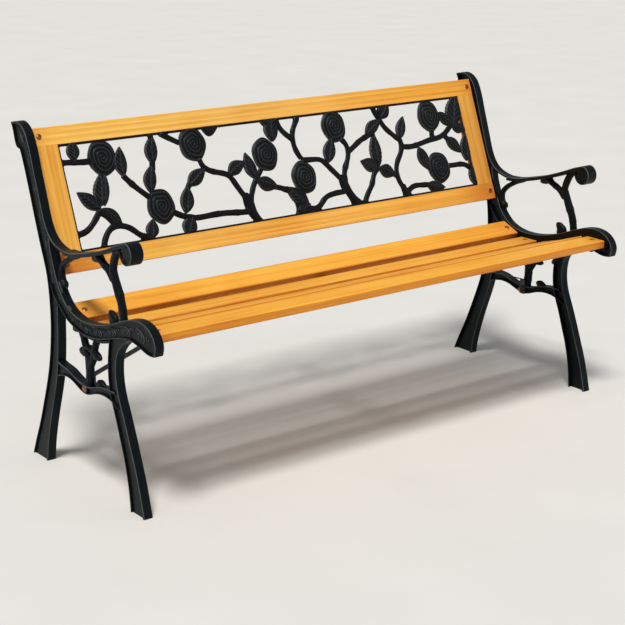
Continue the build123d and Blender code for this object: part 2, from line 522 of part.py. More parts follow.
bolt_length = TIMBER_THICK + LEDGE_THICK + WASHER_THICK + NUT_THICK + 1.0
timber_bolts = {"seat": [], "back": []}
for side in (-1, 1):
    for slat in SLATS:
        x = side * (TIMBER_LENGTH / 2 - SEAT_BOLT_INSET)
        timber_bolts["seat"].append((slat_plane(slat) * Pos(x, 0, 0), LEDGE_THICK))
    for height in (BACK_RAIL / 2, BACK_HEIGHT - BACK_RAIL / 2):
        x = side * (TIMBER_LENGTH / 2 - BACK_BOLT_INSET)
        timber_bolts["back"].append((back_plane * Pos(x, height, 0), LEDGE_THICK - 0.5))
for name, places in timber_bolts.items():
    bolts, washers, nuts = [], [], []
    for place, ledge in places:
        under = place * Pos(0, 0, -TIMBER_THICK - ledge)
        bolts.append(place * Pos(0, 0, -BOLT_HEAD_SINK) * carriage_bolt(bolt_length - BOLT_HEAD_SINK))
        washers.append(under * Pos(0, 0, -WASHER_THICK / 2)
                       * ring(WASHER_RADIUS, HOLE_RADIUS, WASHER_THICK))
        nuts.append(under * Pos(0, 0, -WASHER_THICK - NUT_THICK)
                    * hex_nut(NUT_ACROSS, BOLT_RADIUS, NUT_THICK))
    parts[f"{name}_bolts"] = Compound(bolts)
    parts[f"{name}_bolt_washers"] = Compound(washers)
    parts[f"{name}_bolt_nuts"] = Compound(nuts)

# stretcher bolts: domed head outside, the brace's foot and a nut inside
clamped = FLANGE_WIDTH + BRACE_THICK
length = clamped + WASHER_THICK + STRETCHER_NUT_THICK + 3
bore = STRETCHER_BOLT_RADIUS + 0.3
heads, washers, nuts = [], [], []
for side in (-1, 1):
    outward = Plane(origin=(side * LENGTH / 2, *STRETCHER_BOLT), x_dir=(0, 1, 0), z_dir=(side, 0, 0))
    under = outward * Pos(0, 0, -clamped)
    heads.append(outward * carriage_bolt(length, STRETCHER_BOLT_RADIUS, STRETCHER_HEAD_RADIUS, 4.0))
    washers.append(under * Pos(0, 0, -WASHER_THICK / 2) * ring(STRETCHER_WASHER_RADIUS, bore, WASHER_THICK))
    nuts.append(under * Pos(0, 0, -WASHER_THICK - STRETCHER_NUT_THICK)
                * hex_nut(STRETCHER_NUT_ACROSS, STRETCHER_BOLT_RADIUS, STRETCHER_NUT_THICK))
parts["stretcher_bolts"] = Compound(heads)
parts["stretcher_bolt_washers"] = Compound(washers)
parts["stretcher_bolt_nuts"] = Compound(nuts)

# screws up into the slats, through the bar and through the braces' ends
bar_screws = [slat_plane(slat) * Pos(0, 0, -TIMBER_THICK - BAR_THICK) * wood_screw(BAR_THICK)
              for slat in SLATS]
brace_screws = [Pos(side * BRACE_SCREW_X, BRACE_Y, BRACE_TOP - BRACE_THICK) * wood_screw(BRACE_THICK)
                for side in (-1, 1)]
parts["support_bar_screws"] = Compound(bar_screws)
parts["brace_screws"] = Compound(brace_screws)

os.makedirs("parts", exist_ok=True)
for name, shape in parts.items():
    export_step(shape, f"parts/{name}.step")
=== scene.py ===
from math import atan2, cos, exp, pi, radians, sin

import bmesh
import bpy
import numpy as np
from mathutils import Euler, Matrix, Vector, noise


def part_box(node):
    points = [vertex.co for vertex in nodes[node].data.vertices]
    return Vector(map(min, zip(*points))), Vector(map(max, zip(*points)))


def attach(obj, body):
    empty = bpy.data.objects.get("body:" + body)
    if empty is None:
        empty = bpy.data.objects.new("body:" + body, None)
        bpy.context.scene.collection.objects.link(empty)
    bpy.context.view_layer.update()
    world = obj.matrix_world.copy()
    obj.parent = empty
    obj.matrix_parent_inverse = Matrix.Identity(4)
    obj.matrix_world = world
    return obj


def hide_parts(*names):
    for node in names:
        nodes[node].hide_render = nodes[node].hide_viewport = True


# Garden bench: cast-iron ends, a rose panel and varnished timber, built round the packed
# model. Shapes are drawn in millimetres, in an end casting's (y, z) or on the back plane,
# and put into the row frame in metres.

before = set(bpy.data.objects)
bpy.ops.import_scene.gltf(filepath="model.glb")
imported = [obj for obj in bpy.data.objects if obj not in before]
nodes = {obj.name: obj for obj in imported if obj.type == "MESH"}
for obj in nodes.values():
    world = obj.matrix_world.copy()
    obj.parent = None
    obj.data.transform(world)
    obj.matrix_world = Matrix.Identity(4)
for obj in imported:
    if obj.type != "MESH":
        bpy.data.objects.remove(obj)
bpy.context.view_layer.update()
MM = 0.001

# ---- end casting: depths are in from its outer face ----
KNOB_PROUD = 1.0
OUTER_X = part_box("left_end_casting")[0].x / MM + KNOB_PROUD
FLANGE = dict(start=0.0, end=20.5, thick=5.5)
RIM = dict(start=0.0, end=20.5, thick=3.5)
WEB = dict(start=4.0, end=13.0)
ARM = dict(start=-1.0, end=28.0, thick=9.0)
HALF_FLANGE, HALF_RIM = FLANGE["thick"] / 2, RIM["thick"] / 2
WALL = dict(start=15.0, end=20.5)
LEDGE_FROM, LEDGE_TO = WEB["start"] + 1, 45.0
LEDGE_THICK = 5.0
LEDGE_END = 10.0          # how far past the front slat's middle the ledge runs
TWIG_MIDDLE, TWIG_HALF_DEPTH = 11.0, 8.0
KNOB_CENTRE, KNOB_RADIUS, KNOB_WIDE, KNOB_ROLL = (-176.0, 533.0), 22.5, 29.0, 5.0
STRETCHER_BOLT, BOSS_RADIUS, STRETCHER_FLANGE = (12.0, 215.5), 11.0, 4.5

POST_AND_ARM = [(274.0, 730.0), (252.0, 735.0), (230.0, 729.0), (215.5, 717.0), (206.5, 702.0),
                (197.0, 679.0), (188.5, 652.0), (176.0, 614.0), (163.5, 576.0), (151.0, 541.0),
                (138.0, 520.0), (122.0, 506.0), (101.0, 497.5), (75.0, 492.5), (42.0, 494.0),
                (5.0, 501.0), (-38.0, 511.0), (-80.0, 523.0), (-125.0, 538.5), (-158.0, 550.5),
                (-177.0, 555.5)]
POST_REAR = [(274.0, 731.0), (265.5, 706.0), (253.5, 681.0), (240.0, 678.0)]
LEG_REAR = [(241.0, 678.0), (230.0, 652.0), (217.0, 616.0), (201.0, 567.0), (184.5, 518.0),
            (167.5, 471.0), (156.0, 440.0), (149.0, 407.0), (146.0, 370.0), (146.0, 331.0),
            (153.0, 275.0), (167.0, 217.0), (180.0, 181.0), (199.0, 135.0), (222.0, 83.0),
            (246.0, 36.0), (266.5, -8.0)]
SEAT_TOP = [(135.0, 512.0), (132.0, 488.0), (124.0, 461.0), (111.0, 429.0), (97.0, 403.0),
            (78.0, 383.0), (57.0, 370.5), (30.0, 363.0), (0.0, 360.5), (-35.0, 363.0),
            (-74.0, 370.5), (-108.0, 380.5), (-142.0, 393.0), (-177.0, 404.5), (-205.0, 409.5),
            (-230.0, 408.5), (-252.0, 400.5), (-266.0, 388.0), (-273.0, 370.5), (-269.0, 353.0)]
SEAT_UNDER = [(139.0, 410.0), (124.0, 384.0), (103.0, 366.0), (80.0, 351.0), (51.0, 339.5),
              (18.0, 332.0), (-22.0, 332.0), (-63.0, 337.5), (-103.0, 348.5), (-143.0, 358.5),
              (-181.0, 363.0), (-205.0, 359.5), (-227.0, 354.0), (-249.0, 350.0), (-268.0, 351.5)]
BACK_LEG_FRONT = [(112.0, 368.0), (114.5, 335.0), (117.0, 300.0), (122.0, 255.0), (132.0, 206.0),
                  (147.0, 163.0), (163.0, 121.0), (178.0, 78.0), (189.5, 38.0), (198.0, -8.0)]
FRONT_LEG_FRONT = [(-181.0, 363.5), (-159.0, 353.0), (-139.0, 337.5), (-126.0, 320.0),
                   (-119.5, 296.0), (-119.0, 268.0), (-126.0, 236.0), (-141.0, 200.0),
                   (-156.0, 162.0), (-171.0, 122.0), (-186.0, 80.0), (-198.0, 38.0), (-209.0, -8.0)]
FRONT_LEG_REAR = [(-99.0, 350.0), (-92.0, 315.0), (-88.5, 283.0), (-89.5, 252.0), (-97.0, 220.0),
                  (-109.0, 190.0), (-123.0, 150.0), (-136.0, 112.0), (-145.5, 75.0),
                  (-152.0, 36.0), (-155.0, -8.0)]
STRETCHER_TOP = [(128.0, 246.0), (104.0, 241.5), (80.0, 238.0), (57.0, 230.5), (38.0, 225.5),
                 (16.0, 223.0), (-4.0, 223.0), (-22.0, 227.0), (-45.0, 234.0), (-62.0, 237.0),
                 (-84.0, 238.5), (-112.0, 240.0)]
STRETCHER_UNDER = [(140.0, 208.0), (115.0, 216.5), (92.0, 220.5), (68.0, 219.0), (45.0, 212.0),
                   (24.0, 205.5), (3.0, 204.5), (-26.0, 213.0), (-55.0, 219.5), (-80.0, 219.5),
                   (-101.0, 215.0), (-120.0, 206.0)]
# centre line and width
TWIGS = [
    ([(-146.0, 539.0), (-127.0, 526.0), (-115.0, 507.0), (-108.0, 484.0)], 18.0),
    ([(-50.0, 507.0), (-74.0, 493.0), (-95.0, 483.0), (-112.0, 465.0)], 15.0),
    ([(-105.0, 494.0), (-116.0, 470.0), (-127.0, 446.0), (-137.0, 421.0), (-144.0, 386.0)], 19.0),
    ([(24.0, 492.0), (54.0, 481.0), (80.0, 468.0), (97.0, 455.0), (104.0, 438.0), (100.0, 422.0),
      (88.0, 414.0)], 12.5),
    ([(8.0, 212.0), (4.0, 240.0), (3.0, 262.0), (6.0, 287.0)], 23.0),
    ([(8.0, 280.0), (14.0, 300.0), (22.0, 318.0), (31.0, 340.0)], 15.0),
    ([(4.0, 260.0), (-14.0, 284.0), (-19.0, 303.0), (-28.0, 322.0), (-42.0, 343.0)], 13.0),
    ([(14.0, 301.0), (2.0, 304.0), (-12.0, 300.0), (-22.0, 298.0)], 11.0),
]
# base, tip, width
BUDS = [
    ((-68.0, 507.0), (-26.0, 494.0), 20.0), ((-118.0, 381.0), (-86.0, 402.0), 22.0),
    ((-112.0, 386.0), (-88.0, 377.0), 24.0), ((104.0, 425.0), (84.0, 410.0), 11.0),
    ((-108.0, 313.0), (-74.0, 298.0), 18.0), ((-60.0, 231.0), (-24.0, 239.0), 21.0),
    ((-4.0, 297.0), (-48.0, 290.0), 20.0), ((4.0, 292.0), (44.0, 289.0), 22.0),
    ((28.0, 339.0), (68.0, 329.0), 18.0),
]

# raised ornament on the outer face of the seat rail and the post: middle line, spacing, size
RAIL_MIDDLE = [(104.0, 403.0), (88.0, 382.0), (66.0, 365.0), (40.0, 354.5), (10.0, 347.5), (-20.0, 346.5),
               (-50.0, 350.5), (-85.0, 359.0), (-120.0, 368.5), (-155.0, 377.5), (-190.0, 383.0),
               (-218.0, 381.0), (-240.0, 373.0), (-256.0, 363.0)]
POST_MIDDLE = [(128.0, 440.0), (137.0, 470.0), (148.0, 500.0), (162.0, 541.0), (176.0, 582.0),
               (189.0, 620.0), (203.0, 659.0), (220.0, 695.0), (240.0, 716.0)]
WAVE = [(-19.0, -8.0), (-10.0, -9.5), (-1.0, -8.0), (8.0, -3.5), (13.5, 3.0), (13.0, 8.5), (7.0, 10.0)]
TENDRIL = [(-8.0, -4.0), (-1.0, -1.5), (4.5, 3.0), (4.0, 8.0), (-0.5, 9.0)]
DROPS = [((-14, -5), (-4.5, 8.5), 7.0), ((17, -7), (24, 4), 5.5), ((26, -6), (31, 1), 4.0)]
RELIEF_PITCH = 57.0       # from one wave to the next
RELIEF_END = 8            # how far from the line's end the last may start
RELIEF_ROUND = 1.2        # half thickness of a raised line
RELIEF_HIGH = 2.6

# ---- timber and back plane ----
TIMBER_THICK = 18.0
SLAT_WIDTH = 55.0
# centre of the top face (y, z) and its tilt, rear slat first
SLATS = [(59.0, 367.5, 23.5), (-4.5, 348.2, 0.0), (-83.0, 357.5, -14.0),
         (-154.5, 378.9, -17.9), (-225.0, 389.0, 1.5)]
BACK_FOOT = (116.0, 432.0)
BACK_HEAD = (225.2, 721.0)
BACK_HEIGHT = 309.0
BACK_RAIL = 39.5
HALF_BOARD = 612.5
STILE_WIDTH = 50.0
HALF_OPENING = HALF_BOARD - STILE_WIDTH
PANEL_DEPTH, PANEL_THICK = 3.0, 5.0
PANEL_BACK = -PANEL_DEPTH - PANEL_THICK
PANEL_TONGUE, PANEL_RIM = 5.0, 5.0
PANEL_GAP = 0.4           # from the leaves and stems to the timber
SLOPE = atan2(BACK_HEAD[0] - BACK_FOOT[0], BACK_HEAD[1] - BACK_FOOT[1])

# ---- layout of the rose panel: x, and height up the back ----
ROSES = [(-464, 230), (-348, 109), (-235, 235), (-50, 190), (44, 125), (160, 234), (457, 229), (454, 99)]
ROSE_HALF_WIDTH, ROSE_HALF_HEIGHT = 34.5, 39.5
PETAL_TURNS, PETAL_HIGH = 4.6, 1.7
PETAL_CREST = 0.78        # share of a petal's width at which it is highest
STEM_WIDTH, STEM_HALF_DEPTH = 14.0, 4.4
STEMS = [
    [(-566, 230), (-543, 229), (-518, 227), (-488, 226)],
    [(-425, 188), (-409, 168), (-391, 149), (-369, 130)],
    [(-566, 75), (-540, 80), (-517, 97), (-498, 119)],
    [(-506, 43), (-496, 63), (-479, 79), (-452, 80), (-431, 70), (-413, 54), (-392, 46)],
    [(-336, 271), (-339, 246)],
    [(-344, 214), (-350, 188)],
    [(-312, 267), (-290, 253), (-268, 241)],
    [(-326, 95), (-300, 81), (-268, 72), (-220, 73), (-170, 70), (-129, 67)],
    [(-273, 139), (-263, 151)],
    [(-227, 201), (-221, 183), (-205, 171), (-178, 162), (-160, 154), (-146, 132), (-131, 103)],
    [(-116, 86), (-110, 104), (-99, 124), (-84, 142), (-68, 160)],
    [(-44, 113), (-24, 107), (0, 95)],
    [(0, 269), (6, 246), (20, 228), (34, 216)],
    [(62, 269), (50, 250), (40, 234), (35, 214), (36, 194), (47, 169)],
    [(47, 165), (79, 163), (103, 158), (121, 140), (139, 118), (152, 101)],
    [(40, 51), (66, 51), (90, 69), (116, 76), (150, 77)],
    [(172, 203), (184, 187), (184, 163), (174, 143), (162, 121), (158, 97)],
    [(186, 169), (202, 177), (228, 191), (260, 203)],
    [(288, 271), (292, 253), (302, 235)],
    [(302, 233), (310, 217), (327, 199), (345, 183)],
    [(345, 191), (351, 171), (345, 151), (329, 131), (319, 109), (319, 85), (331, 57), (338, 43)],
    [(349, 164), (378, 160), (411, 164), (446, 170), (480, 174), (504, 186), (524, 201)],
    [(456, 194), (452, 170)],
    [(483, 100), (513, 99), (538, 96), (556, 84), (566, 70)],
    [(342, 55), (362, 63), (388, 63), (411, 61)],
    [(204, 45), (218, 65), (236, 85), (250, 109), (264, 121)],
    [(271, 195), (269, 211)],
    [(306, 98), (320, 100)],
    [(489, 180), (503, 163)],
    [(-500, 118), (-484, 106), (-472, 90)],
]
# base, tip, width, and whether its edge is toothed
LEAVES = [
    ((-531, 230), (-528, 277), 30, 0), ((-423, 183), (-418, 250), 31, 0), ((-494, 120), (-541, 165), 32, 0),
    ((-492, 127), (-478, 198), 37, 1), ((-483, 127), (-466, 197), 22, 0), ((-492, 124), (-451, 82), 28, 0),
    ((-388, 42), (-376, 85), 31, 0), ((-346, 201), (-333, 267), 31, 0), ((-366, 140), (-348, 203), 31, 0),
    ((-299, 37), (-276, 80), 37, 0), ((-290, 84), (-272, 146), 34, 0), ((-269, 144), (-217, 179), 33, 0),
    ((-159, 156), (-109, 181), 32, 0), ((-88, 136), (-104, 201), 31, 0), ((-88, 135), (-34, 111), 34, 0),
    ((-21, 216), (-13, 278), 38, 0), ((-45, 272), (-14, 256), 21, 0), ((-205, 271), (-159, 268), 41, 0),
    ((35, 61), (-13, 111), 29, 1), ((44, 61), (4, 51), 26, 1), ((120, 149), (146, 209), 34, 0),
    ((250, 205), (304, 237), 30, 0), ((301, 238), (336, 275), 34, 0), ((349, 181), (375, 237), 28, 0),
    ((403, 156), (421, 96), 32, 0), ((490, 236), (534, 197), 28, 0), ((525, 195), (554, 275), 50, 1),
    ((524, 199), (568, 182), 27, 1), ((497, 171), (535, 127), 30, 0), ((549, 104), (562, 175), 35, 1),
    ((563, 39), (557, 94), 30, 0), ((403, 62), (459, 48), 30, 1), ((267, 119), (217, 144), 34, 0),
    ((266, 120), (272, 206), 34, 1), ((268, 120), (312, 96), 34, 0),
]
# where branches meet: left, then right outline
TRUNKS = [
    ([(-135, 110), (-135, 82), (-129, 60), (-114, 39)], [(-119, 110), (-107, 88), (-104, 66), (-89, 39)]),
    ([(144, 118), (143, 90), (156, 66), (166, 39)], [(163, 118), (170, 90), (182, 64), (214, 39)]),
    ([(-6, 110), (-2, 82), (4, 60), (-4, 39)], [(34, 97), (42, 81), (46, 61), (70, 39)]),
    ([(321, 72), (322, 60), (323, 50), (321, 39)], [(337, 72), (341, 60), (349, 50), (355, 39)]),
]


# ---- lines ----
def through(points, step=4.0):
    """Evenly spaced points on the natural cubic spline through the given ones."""
    p = np.array(points, float)
    gaps = np.linalg.norm(np.diff(p, axis=0), axis=1)
    t = np.concatenate([[0.0], np.cumsum(gaps)])
    count = len(p)
    bend = np.zeros_like(p)
    if count > 2:
        matrix = np.zeros((count, count))
        matrix[0, 0] = matrix[-1, -1] = 1.0
        right = np.zeros_like(p)
        for i in range(1, count - 1):
            matrix[i, i - 1:i + 2] = gaps[i - 1], 2 * (gaps[i - 1] + gaps[i]), gaps[i]
            right[i] = 6 * ((p[i + 1] - p[i]) / gaps[i] - (p[i] - p[i - 1]) / gaps[i - 1])
        bend = np.linalg.solve(matrix, right)
    out = []
    for s in np.linspace(0.0, t[-1], max(3, round(t[-1] / step)) + 1):
        i = min(int(np.searchsorted(t, s, side="right")) - 1, count - 2)
        h, a, b = gaps[i], t[i + 1] - s, s - t[i]
        out.append(bend[i] * a**3 / (6 * h) + bend[i + 1] * b**3 / (6 * h)
                   + (p[i] / h - bend[i] * h / 6) * a + (p[i + 1] / h - bend[i + 1] * h / 6) * b)
    return np.array(out)


def resample(line, count):
    """The same line as that many evenly spaced points."""
    gaps = np.linalg.norm(np.diff(line, axis=0), axis=1)
    t = np.concatenate([[0.0], np.cumsum(gaps)])
    s = np.linspace(0.0, t[-1], count)
    return np.stack([np.interp(s, t, line[:, 0]), np.interp(s, t, line[:, 1])], axis=1)


def left_of(line):
    """Unit vectors to the left of the line's run."""
    along = np.gradient(line, axis=0)
    along /= np.linalg.norm(along, axis=1)[:, None]
    return np.stack([-along[:, 1], along[:, 0]], axis=1)


def shifted(line, distance):
    return line + left_of(line) * distance


# ---- solids: (vertices, faces, marks); drawn as (across, up, depth) and placed later ----
def skin(rings, scuffed_and_highlit=None):
    """Closed skin over rings of points, capped at both ends. worn tells, ring by ring, which
    faces get the second material."""
    rings = np.array(rings, float)
    count, around = rings.shape[:2]
    faces, marks = [], []
    for i in range(count - 1):
        for j in range(around):
            k = (j + 1) % around
            faces.append((i * around + j, i * around + k, (i + 1) * around + k, (i + 1) * around + j))
            marks.append(0 if scuffed_and_highlit is None else int(scuffed_and_highlit[i][j]))
    faces.append(tuple(range(around))[::-1])
    faces.append(tuple((count - 1) * around + j for j in range(around)))
    return rings.reshape(-1, 3), faces, marks + [0, 0]


GUARD_STEP = 0.6          # between a corner's arc and its guard points


def beside(point, way, distance):
    return point[0] + distance * cos(way), point[1] + distance * sin(way)


def rounded(low, high, start, end, radius, steps=3):
    """Rounded rectangle with guard points beside each corner, as (sideways, depth). The
    corners come as inner high, inner low, outer low, outer high."""
    centres = [(high - radius, end - radius, 0), (low + radius, end - radius, 1),
               (low + radius, start + radius, 2), (high - radius, start + radius, 3)]
    guard = min([GUARD_STEP] + [side / 4 - radius / 2 - 0.03 for side in (high - low, end - start)])
    points = []
    for u, v, quarter in centres:
        angles = [pi / 2 * (quarter + k / steps) for k in range(steps + 1)]
        arc = [(u + radius * cos(a), v + radius * sin(a)) for a in angles]
        before, after = pi / 2 * quarter - pi / 2, pi / 2 * quarter + pi
        points += [beside(arc[0], before, k * guard) for k in (2, 1)]
        points += arc
        points += [beside(arc[-1], after, k * guard) for k in (1, 2)]
    return np.array(points)


def swept(line, section, scuffed_and_highlit=None):
    """A section of (sideways, depth) points carried along the line."""
    rings = []
    for point, normal in zip(line, left_of(line)):
        flat = point + np.outer(section[:, 0], normal)
        rings.append(np.column_stack([flat, section[:, 1]]))
    return skin(rings, None if scuffed_and_highlit is None else [scuffed_and_highlit] * len(rings))


def scuffed_and_highlit_corners(*corners, steps=3, guards=4):
    """Marks for a rounded section whose arcs at those corners get the pale edge paint: scuffed paint and a
    painted highlight.
    """
    around = steps + 1 + guards
    marks = np.zeros(4 * around, int)
    for corner in corners:
        first = corner * around + guards // 2
        marks[first:first + steps] = 1
    return marks


def strap(points, form, radius=1.1, flip=False, step=4.0):
    """A flange or rim: a flat bar on one side of its line, paler along that line's two edges, as scuffed
    paint and a painted highlight.
    """
    thick = form["thick"]
    low, high, scuffed_and_highlit = (-thick, 0.0, (0, 3)) if flip else (0.0, thick, (1, 2))
    section = rounded(low, high, form["start"], form["end"], radius)
    return swept(through(points, step), section, scuffed_and_highlit_corners(*scuffed_and_highlit))


def plate(first, second, start, end):
    """A flat plate between two lines that run the same way."""
    count = max(len(first), len(second))
    return plate_of(*(resample(np.array(line, float), count) for line in (first, second)), start, end)


def plate_of(first, second, start, end):
    """A plate between two lines given corner by corner."""
    return skin([[(*a, start), (*b, start), (*b, end), (*a, end)] for a, b in zip(first, second)])


def ragged(point, size, amount, seed):
    """A slow random factor near 1, for the unevenness of a casting."""
    return 1.0 + amount * noise.noise(Vector((point[0] / size, point[1] / size, seed)))


def branch(points, width, middle, half_depth, seed, knots=0.0, blunt=True, step=2.5, around=16):
    """A knotted twig with an oval section."""
    line = through(points, step)
    length = len(line) - 1
    angles = np.arange(around) * 2 * pi / around
    rings = []
    for i, (point, normal) in enumerate(zip(line, left_of(line))):
        grow = ragged(point, 20.0, 0.12, seed)
        grow += knots * max(0.0, noise.noise(Vector((i * step / 19.0, seed, 3.1)))) ** 2 * 3
        end = min(i, length - i) * step
        if blunt and end < 4.0:
            grow *= 0.62 + 0.38 * (end / 4.0) ** 0.5
        wobble = 1.0 + 0.05 * np.sin(3 * angles + i * 0.21 + seed)
        sideways = np.cos(angles) * wobble * width / 2 * grow
        depth = middle + np.sin(angles) * wobble * half_depth * grow
        flat = point + np.outer(sideways, normal)
        rings.append(np.column_stack([flat, depth]))
    return skin(rings)


def bud(base, tip, width, middle, half_depth, seed):
    """A fat leaf bud, creased down its length."""
    line = np.linspace(np.array(base), np.array(tip), 22)
    angles = np.arange(20) * 2 * pi / 20
    rings = []
    for i, (point, normal) in enumerate(zip(line, left_of(line))):
        t = i / (len(line) - 1)
        fat = max(0.06, sin(pi * min(1.0, t * 0.94 + 0.06)) ** 0.62) * ragged(point, 9.0, 0.12, seed)
        crease = 1.0 - 0.10 * np.exp(-((np.cos(angles)) / 0.22) ** 2)
        sideways = np.cos(angles) * width / 2 * fat
        depth = middle + np.sin(angles) * crease * half_depth * fat
        flat = point + np.outer(sideways, normal)
        rings.append(np.column_stack([flat, depth]))
    return skin(rings)


def ornament(line, first, size):
    """Waves with a drop and a tendril below each, raised from the web all along the line."""
    path = through(line, 1.0)
    side = left_of(path)
    middle = WEB["start"] + 0.3
    solids = []
    starts = np.arange(first, len(path) - RELIEF_END, RELIEF_PITCH).astype(int)
    for count, i in enumerate(starts):
        along = np.array([side[i][1], -side[i][0]])

        def at(point):
            return tuple(path[i] + (along * point[0] + side[i] * point[1]) * size)

        for thick, curl in ((1.0, WAVE), (0.75, TENDRIL)):
            line = [at(point) for point in curl]
            solids.append(branch(line, 2 * RELIEF_ROUND * thick, middle, RELIEF_HIGH * thick,
                                 seed=count, step=1.2, around=8))
        for base, tip, width in DROPS:
            solids.append(bud(at(base), at(tip), width * size, middle, RELIEF_HIGH, seed=count))
    return solids


def boss(centre, radius, start, end, around=40):
    """A round boss with softened edges."""
    deep, soft = end - start, min(1.2, 0.06 * radius)
    profile = [(0.06, 0.0), (0.5, 0.0), (0.84, 0.0), (0.90, 0.0), (0.97, 0.3 * soft), (1.0, soft)]
    profile += [(share, deep - depth) for share, depth in profile[::-1]]
    rings = []
    for share, depth in profile:
        angles = np.arange(around) * 2 * pi / around
        circle = np.column_stack([centre[0] + radius * share * np.cos(angles),
                                  centre[1] + radius * share * np.sin(angles)])
        rings.append(np.column_stack([circle, np.full(around, start + depth)]))
    return skin(rings)


# ---- objects ----
def casting_place(vertices):
    """(y, z, depth) of the left casting to the row frame."""
    return np.column_stack([OUTER_X + vertices[:, 2], vertices[:, 0], vertices[:, 1]]) * MM


def back_place(vertices):
    """(x, height up the back, height above the frame's front face) to the row frame."""
    x, up, out = vertices.T
    y = BACK_FOOT[0] + up * sin(SLOPE) - out * cos(SLOPE)
    z = BACK_FOOT[1] + up * cos(SLOPE) + out * sin(SLOPE)
    return np.column_stack([x, y, z]) * MM


def solid_mesh(name, solids, place, floor=False):
    """One mesh from closed solids, each cut level with the ground where it passes it."""
    whole = bmesh.new()
    for vertices, faces, marks in solids:
        one = bmesh.new()
        points = [one.verts.new(co) for co in place(np.array(vertices, float))]
        for face, mark in zip(faces, marks):
            one.faces.new([points[i] for i in face]).material_index = mark
        bmesh.ops.recalc_face_normals(one, faces=one.faces)
        if floor and min(v.co.z for v in one.verts) < 0:
            geometry = one.verts[:] + one.edges[:] + one.faces[:]
            bmesh.ops.bisect_plane(one, geom=geometry, plane_co=(0, 0, 0), plane_no=(0, 0, 1),
                                   clear_inner=True)
            rim = [e for e in one.edges if e.is_boundary]
            bmesh.ops.holes_fill(one, edges=rim, sides=0)
            bmesh.ops.recalc_face_normals(one, faces=one.faces)
        piece = bpy.data.meshes.new("part")
        one.to_mesh(piece)
        one.free()
        whole.from_mesh(piece)
        bpy.data.meshes.remove(piece)
    mesh = bpy.data.meshes.new(name)
    whole.to_mesh(mesh)
    whole.free()
    return mesh


def new_object(name, mesh):
    obj = bpy.data.objects.new(name, mesh)
    bpy.context.scene.collection.objects.link(obj)
    return obj


def apply_modifiers(obj):
    bpy.context.view_layer.update()
    evaluated = obj.evaluated_get(bpy.context.evaluated_depsgraph_get())
    mesh = bpy.data.meshes.new_from_object(evaluated)
    obj.modifiers.clear()
    old, obj.data = obj.data, mesh
    bpy.data.meshes.remove(old)


def fused(name, solids, place, floor=False):
    """One closed skin over solids that overlap."""
    pieces = [new_object(f"{name}_{i}", solid_mesh(f"{name}_{i}", [solid], place, floor))
              for i, solid in enumerate(solids)]
    others = bpy.data.collections.new(name)
    for piece in pieces[1:]:
        others.objects.link(piece)
    union = pieces[0].modifiers.new("union", "BOOLEAN")
    union.operation = "UNION"
    union.operand_type = "COLLECTION"
    union.collection = others
    union.solver = "MANIFOLD"
    apply_modifiers(pieces[0])
    for piece in pieces[1:]:
        mesh = piece.data
        bpy.data.objects.remove(piece)
        bpy.data.meshes.remove(mesh)
    bpy.data.collections.remove(others)
    pieces[0].name = name
    return pieces[0]


def melt(obj, voxel, smooth=4):
    """Fuses overlapping solids into one skin with soft joins, as a casting has."""
    remesh = obj.modifiers.new("melt", "REMESH")
    remesh.mode = "VOXEL"
    remesh.voxel_size = voxel * MM
    soften = obj.modifiers.new("soften", "SMOOTH")
    soften.factor = 0.5
    soften.iterations = smooth
    apply_modifiers(obj)


def smooth_by_angle(mesh, degrees=38.0):
    mesh.shade_smooth()
    mesh.set_sharp_from_angle(angle=radians(degrees))


def mirrored(mesh, name):
    other = mesh.copy()
    other.name = name
    other.transform(Matrix.Diagonal((-1, 1, 1, 1)))
    other.flip_normals()
    return other


def finish_piece(obj, materials, slot, *replaced):
    """Gives a piece its materials, by the faces' marks, and its place in the row."""
    indices = np.zeros(len(obj.data.polygons), np.int32)
    obj.data.polygons.foreach_get("material_index", indices)
    obj.data.materials.clear()
    for material in materials:
        obj.data.materials.append(material)
    obj.data.polygons.foreach_set("material_index", np.minimum(indices, len(materials) - 1))
    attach(obj, "root")
    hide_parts(*replaced)


# ---- materials ----
def node(tree, kind, settings=None, **inputs):
    made = tree.nodes.new("ShaderNode" + kind)
    for key, value in (settings or {}).items():
        setattr(made, key, value)
    for key, value in inputs.items():
        socket = made.inputs[key.replace("_", " ")]
        if isinstance(value, bpy.types.NodeSocket):
            tree.links.new(value, socket)
        else:
            socket.default_value = value
    return made


def ramp(tree, factor, stops, smooth=False):
    made = node(tree, "ValToRGB", Fac=factor)
    elements = made.color_ramp.elements
    while len(elements) < len(stops):
        elements.new(0.5)
    for element, (place, colour) in zip(elements, stops):
        element.position = place
        element.color = (*colour, 1.0) if hasattr(colour, "__len__") else (colour, colour, colour, 1.0)
    if smooth:
        made.color_ramp.interpolation = "EASE"
    return made.outputs["Color"]


def mixed(tree, factor, first, second, blend="MIX"):
    made = node(tree, "MixRGB", dict(blend_type=blend), Fac=factor)
    for socket, value in ((made.inputs["Color1"], first), (made.inputs["Color2"], second)):
        if isinstance(value, bpy.types.NodeSocket):
            tree.links.new(value, socket)
        else:
            socket.default_value = (*value, 1.0)
    return made.outputs["Color"]


def new_material(name):
    material = bpy.data.materials.new(name)
    material.use_nodes = True
    tree = material.node_tree
    return material, tree, tree.nodes["Principled BSDF"]


def bumped(tree, shader, *layers):
    """Bump layers of (height, strength, distance in metres), chained into the shader."""
    normal = None
    for height, strength, distance in layers:
        inputs = dict(Height=height, Strength=strength, Distance=distance)
        if normal is not None:
            inputs["Normal"] = normal
        normal = node(tree, "Bump", **inputs).outputs["Normal"]
    tree.links.new(normal, shader.inputs["Normal"])


